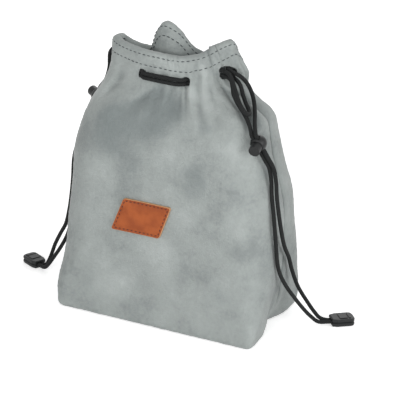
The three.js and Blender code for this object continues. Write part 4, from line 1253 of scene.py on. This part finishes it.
def sew(name, rows, pitch, length, width, finish):
    """Sews a stitch at every step of each row. A row is a line of points and the way out at each."""
    bm = bmesh.new()
    for line, out in rows:
        run = run_along(line)
        count = round(run[-1] / pitch)
        for k in range(count):
            i = int(np.argmin(np.abs(run - (k + 0.5) * run[-1] / count)))
            ahead = Vector(line[min(i + 1, len(line) - 1)] - line[max(i - 1, 0)]).normalized()
            normal = Vector(out[i])
            side = ahead.cross(normal)
            turn = Matrix((ahead * length / 2, side * width / 2, normal * width / 2)).transposed().to_4x4()
            spot = Matrix.Translation(Vector(line[i]) * MM) @ Matrix.Scale(MM, 4) @ turn
            across, high = BEAD_SIDES
            bmesh.ops.create_uvsphere(bm, u_segments=across, v_segments=high, radius=1, matrix=spot)
    bmesh.ops.recalc_face_normals(bm, faces=bm.faces)
    print(len(bm.faces) // math.prod(BEAD_SIDES), "stitches in", name)
    piece = link(name, write_mesh(name, bm), finish.material)
    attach(piece, "bag")


print("a stitch has", math.prod(BEAD_SIDES), "faces")

# %% [markdown]
# The hem's rows run outside and inside, at the same two heights below the rim. Their thread is a dark grey
# that shows against the plush.

# %% Hem stitches
HEM_PITCH, HEM_STITCH, HEM_THREAD = 3.8, 2.8, 0.75
STITCH_LIFT = 0.05
LINE_STEPS = 900


def hem_row(drop, depth):
    share = np.linspace(0, 1, LINE_STEPS)
    height = mouth(share)[2] - drop
    _, inward = directions(share, height)
    return wall(share, height, depth), inward if depth > 0 else -inward


rows = [hem_row(drop, depth) for drop in STITCH_ROWS for depth in (-STITCH_LIFT, WALL + STITCH_LIFT)]
hem_thread = thread("hem_thread", (38, 43, 46), (70, 76, 79), 0.7)
sew("hem_stitches", rows, HEM_PITCH, HEM_STITCH, HEM_THREAD, hem_thread)

# %% [markdown]
# The patch is a slanted piece of smooth tan leather, sewn on near its edge with dark thread. A square grid
# is drawn in at its corners to round them, slanted, and then laid on the wall, so that the patch follows
# the pouch. The stitches pull the edge down a little, and the cut edge of the leather stays paler.

# %% Leather patch
PATCH_WIDTH, PATCH_HEIGHT, PATCH_THICK, PATCH_CORNER = 38.5, 26, 1.5, 2.2
PATCH_SLANT = 0.35
PATCH_SHARE, PATCH_LEVEL, PATCH_GAP = 0.222, 83.4, 0.1
PATCH_CELLS = (66, 46)
PATCH_INSET, PATCH_PUFF, PUFF_REACH, PATCH_EDGE = 2, 0.35, 2.5, 0.35


def round_edges(piece, width, angle=40):
    """Rounds the edges between faces that meet at more than the angle, in degrees."""
    rounded = piece.modifiers.new("rounded", "BEVEL")
    rounded.width = width * MM
    rounded.segments = 2
    rounded.angle_limit = math.radians(angle)
    return rounded


patch_pace = pace(PATCH_SHARE, PATCH_LEVEL)


def on_patch(a, b, lift=0):
    """Place on the patch, a and b in millimetres from its middle."""
    share = PATCH_SHARE + (a + PATCH_SLANT * b) / patch_pace
    press = np.minimum(PATCH_WIDTH / 2 - np.abs(a), PATCH_HEIGHT / 2 - np.abs(b)) - PATCH_INSET
    puff = PATCH_PUFF * soft_step(np.abs(press) / PUFF_REACH)
    return wall(share, PATCH_LEVEL + b, -PATCH_GAP - puff - lift)


def patch_place(u, v):
    """Draws the corners of the flat sheet in to round ones, and lays it on the wall."""
    a, b = (u - 0.5) * PATCH_WIDTH, (v - 0.5) * PATCH_HEIGHT
    past_a = np.maximum(np.abs(a) - (PATCH_WIDTH / 2 - PATCH_CORNER), 0)
    past_b = np.maximum(np.abs(b) - (PATCH_HEIGHT / 2 - PATCH_CORNER), 0)
    pull = 1 - np.maximum(past_a, past_b) / np.maximum(np.hypot(past_a, past_b), EDGE)
    return on_patch(a - np.sign(a) * past_a * pull, b - np.sign(b) * past_b * pull)


patch = link("leather_patch", write_mesh("leather_patch", sheet_bmesh(*PATCH_CELLS, patch_place)))
solid = patch.modifiers.new("thickness", "SOLIDIFY")
solid.thickness = PATCH_THICK * MM
solid.offset = 1
round_edges(patch, PATCH_EDGE, 50)
stand_for(patch, "label_patch")
print("patch", PATCH_WIDTH, "by", PATCH_HEIGHT, "mm, at", PATCH_LEVEL, "mm")

# %% [markdown]
# The leather is tan with soft darker clouds and a fine grain. It is darker along the stitches, and its cut
# edge stays pale. The distance from the edge comes from the patch's own map.

# %% Leather
# Where the shade along the stitches and the pale cut edge begin and where they are full, in millimetres
# from the edge of the patch
STITCH_SHADE, PALE_EDGE = (1.6, 0.9), (0.32, 0.12)
leather = new_finish("tan_leather", {"Specular IOR Level": 0.3})
near_u = 0.5 - (leather.map_axis("X") - 0.5).size()
near_v = 0.5 - (leather.map_axis("Y") - 0.5).size()
edge = (near_u * PATCH_WIDTH).smaller(near_v * PATCH_HEIGHT)
grain = leather.noise(0.7, 3)
cloudy = leather.noise(9, 3)
colour = leather.mix(leather.ramp(cloudy, 0.3, 0.7), paint(146, 70, 30), paint(168, 86, 40))
colour = leather.mix(leather.ramp(edge, *STITCH_SHADE) * 0.35, colour, paint(128, 56, 26))
colour = leather.mix(leather.ramp(edge, *PALE_EDGE), colour, paint(190, 146, 106))
leather.feed({"Base Color": colour, "Roughness": 0.42 + grain * 0.2})
leather.bump(grain * 0.5 + cloudy * 0.5, 0.15)
patch.data.materials.append(leather.material)
print("leather is pale over its outer", PALE_EDGE[1], "mm")

# %% [markdown]
# Four straight rows of stitches follow the edges of the patch, in a dark thread that has sunk into the
# leather a little.

# %% Patch stitches
SIDE_STEPS = 200
PATCH_PITCH, PATCH_STITCH, PATCH_THREAD = 3.2, 2.3, 0.85
wide, tall = PATCH_WIDTH / 2 - PATCH_INSET, PATCH_HEIGHT / 2 - PATCH_INSET
corners = [(-wide, -tall), (wide, -tall), (wide, tall), (-wide, tall)]
rows = []
for start, end in zip(corners, corners[1:] + corners[:1]):
    a, b = np.linspace(start, end, SIDE_STEPS).T
    _, inward = directions(PATCH_SHARE + (a + PATCH_SLANT * b) / patch_pace, PATCH_LEVEL + b)
    rows.append((on_patch(a, b, PATCH_THICK), -inward))
patch_thread = thread("patch_thread", (62, 22, 12), (92, 38, 22), 0.6)
sew("patch_stitches", rows, PATCH_PITCH, PATCH_STITCH, PATCH_THREAD, patch_thread)

# %% [markdown]
# The small hard parts have bores and windows. Boolean modifiers cut them with cylinders and blocks, as a
# drill and a cutter would, and the result is then kept as the mesh, so that a bevel can round its edges.

# %% Cut solids
WINDOW_HALF, CUT_REACH, DRUM_SIDES = 3.45, 12, 48


def drum(name, radius, low, high):
    bm = bmesh.new()
    middle = Matrix.Translation((0, 0, (low + high) / 2))
    sizes = {"radius1": radius, "radius2": radius, "depth": high - low}
    bmesh.ops.create_cone(bm, cap_ends=True, segments=DRUM_SIDES, matrix=middle, **sizes)
    return link(name, write_mesh(name, bm))


def block(name, height, middle):
    """A cutter right across a lock, as wide as both cords."""
    bm = bmesh.new()
    size = Matrix.Diagonal((2 * WINDOW_HALF, CUT_REACH, height, 1))
    bmesh.ops.create_cube(bm, size=1, matrix=Matrix.Translation((0, 0, middle)) @ size)
    return link(name, write_mesh(name, bm))


def carve(piece, *cutters):
    """Cuts away what the cutters cover, and keeps the result as the piece's mesh."""
    for cutter in cutters:
        cut = piece.modifiers.new("cut", "BOOLEAN")
        cut.object = cutter
        cut.operation = "DIFFERENCE"
        cut.solver = "EXACT"
    bpy.context.view_layer.update()
    seen = piece.evaluated_get(bpy.context.evaluated_depsgraph_get())
    shape = bpy.data.meshes.new_from_object(seen)
    piece.modifiers.clear()
    piece.data = shape
    for cutter in cutters:
        bpy.data.objects.remove(cutter)


print("windows are", 2 * WINDOW_HALF, "mm wide for two cords of", CORD, "mm")

# %% [markdown]
# A cord lock is a ball with a spring-loaded button. Both have a window that the two cords run through, and
# the spring pushes the windows out of line, so the cords are pinched. The ball and the button are made
# from a sphere and a cylinder, the bores and windows are cut out of them, and every edge is rounded.

# %% Cord locks
BALL, BORE, BORE_FLOOR, POCKET, POCKET_FLOOR = 5.8, 4.25, -3.19, 2.5, -4.7
SLOT_HEIGHT, WINDOW_HEIGHT, WINDOW_SHIFT = 3.6, 4.6, 0.5
LOCK_OFFSET = 0.81
BUTTON, BUTTON_FLOOR, BUTTON_TOP = 3.95, -1.89, 10
OVERLAP = 1
BALL_AROUND, BALL_UP = 56, 36
BALL_EDGE, BUTTON_EDGE = 0.25, 0.5


def set_in_lock(piece, side, finish):
    """Moves a piece made at the origin, in millimetres, to its lock."""
    lock = LOCKS[side]
    turn = Matrix((lock["across"], lock["along"], lock["out"])).transposed().to_4x4()
    spot = Matrix.Translation(lock["centre"] - lock["out"] * LOCK_OFFSET)
    piece.data.transform(Matrix.Scale(MM, 4) @ spot @ turn)
    piece.data.materials.clear()
    piece.data.materials.append(finish.material)
    piece.data.shade_smooth()


def plastic(name, dark, light, roughness):
    finish = new_finish(name, {"Specular IOR Level": 0.35})
    flow = finish.noise(6, 3)
    speck = finish.noise(0.4)
    finish.feed({
        "Base Color": finish.mix(flow * 0.6 + speck * 0.4, paint(*dark), paint(*light)),
        "Roughness": roughness - 0.08 + speck * 0.16,
    })
    finish.bump(speck * 0.7 + flow * 0.3, 0.05)
    return finish


lock_finish = plastic("lock_plastic", (10, 12, 12), (24, 26, 27), 0.45)
window = LOCK_OFFSET + WINDOW_SHIFT
for side in ("right", "left"):
    bm = bmesh.new()
    bmesh.ops.create_uvsphere(bm, u_segments=BALL_AROUND, v_segments=BALL_UP, radius=BALL)
    body = link(f"lock_ball_{side}", write_mesh("ball", bm))
    carve(
        body,
        drum("bore", BORE, BORE_FLOOR, BALL + OVERLAP),
        drum("pocket", POCKET, POCKET_FLOOR, BORE_FLOOR + OVERLAP),
        block("slot", SLOT_HEIGHT, LOCK_OFFSET),
    )
    button = drum(f"lock_button_{side}", BUTTON, BUTTON_FLOOR, BUTTON_TOP)
    carve(button, block("window", WINDOW_HEIGHT, window))
    for piece, width in ((body, BALL_EDGE), (button, BUTTON_EDGE)):
        set_in_lock(piece, side, lock_finish)
        round_edges(piece, width).harden_normals = True
        print(piece.name, len(piece.data.polygons), "faces")
    stand_for(body, f"cord_lock_{side}_body", f"cord_lock_{side}")
    stand_for(button, f"cord_lock_{side}_button", f"cord_lock_{side}_plunger")

# %% [markdown]
# Below each button sits a short coil spring. A helix of points gives its line, and the wire is a tube along
# it.

# %% Springs
SPRING_RADIUS, SPRING_WIRE, SPRING_TURNS, SPRING_POINTS = 2.0, 0.4, 2, 96
SPRING_LOW, SPRING_HIGH = -4.2, -2.39
WIRE_SIDES = 10
steel = new_finish("spring_steel", {"Metallic": 1})
drawn = steel.noise(0.3, 3)
steel.feed({
    "Base Color": steel.mix(drawn, paint(150, 153, 156), paint(205, 207, 209)),
    "Roughness": 0.22 + drawn * 0.2,
})
steel.bump(drawn, 0.02)
turn = np.linspace(0, 2 * math.pi * SPRING_TURNS, SPRING_POINTS)
helix = np.stack([
    SPRING_RADIUS * np.cos(turn),
    SPRING_RADIUS * np.sin(turn),
    np.linspace(SPRING_LOW, SPRING_HIGH, SPRING_POINTS),
], axis=1)
for side in ("right", "left"):
    wire = tube_bmesh(helix, WIRE_SIDES, lambda u, run: np.full_like(u, SPRING_WIRE / 2))
    spring = link(f"lock_spring_{side}", write_mesh("spring", wire))
    # The tube is in metres, and what is set in a lock starts in millimetres
    spring.data.transform(Matrix.Scale(1 / MM, 4))
    set_in_lock(spring, side, steel)
    stand_for(spring, f"cord_lock_{side}_spring", f"cord_lock_{side}")
    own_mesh(spring)
    print(spring.name, SPRING_TURNS, "turns of", SPRING_WIRE, "mm wire")

# %% [markdown]
# The two halves of each cord end keep their solids, which have the real forms already: a base and a cover
# that is pinned to it, with a raised panel and a grip ridge. They only need their finish and slightly
# rounded edges, which catch a thin line of light as moulded parts do.

# %% Cord ends
END_EDGE = 0.3
end_finish = plastic("cord_end_plastic", (12, 14, 14), (28, 30, 31), 0.5)
for side in ("right", "left"):
    for half in ("base", "cover"):
        node = bpy.data.objects[f"cord_end_{side}_{half}"]
        node.data.materials.clear()
        node.data.materials.append(end_finish.material)
        round_edges(node, END_EDGE)
        print(node.name, len(node.data.polygons), "faces before the bevel")

# %% [markdown]
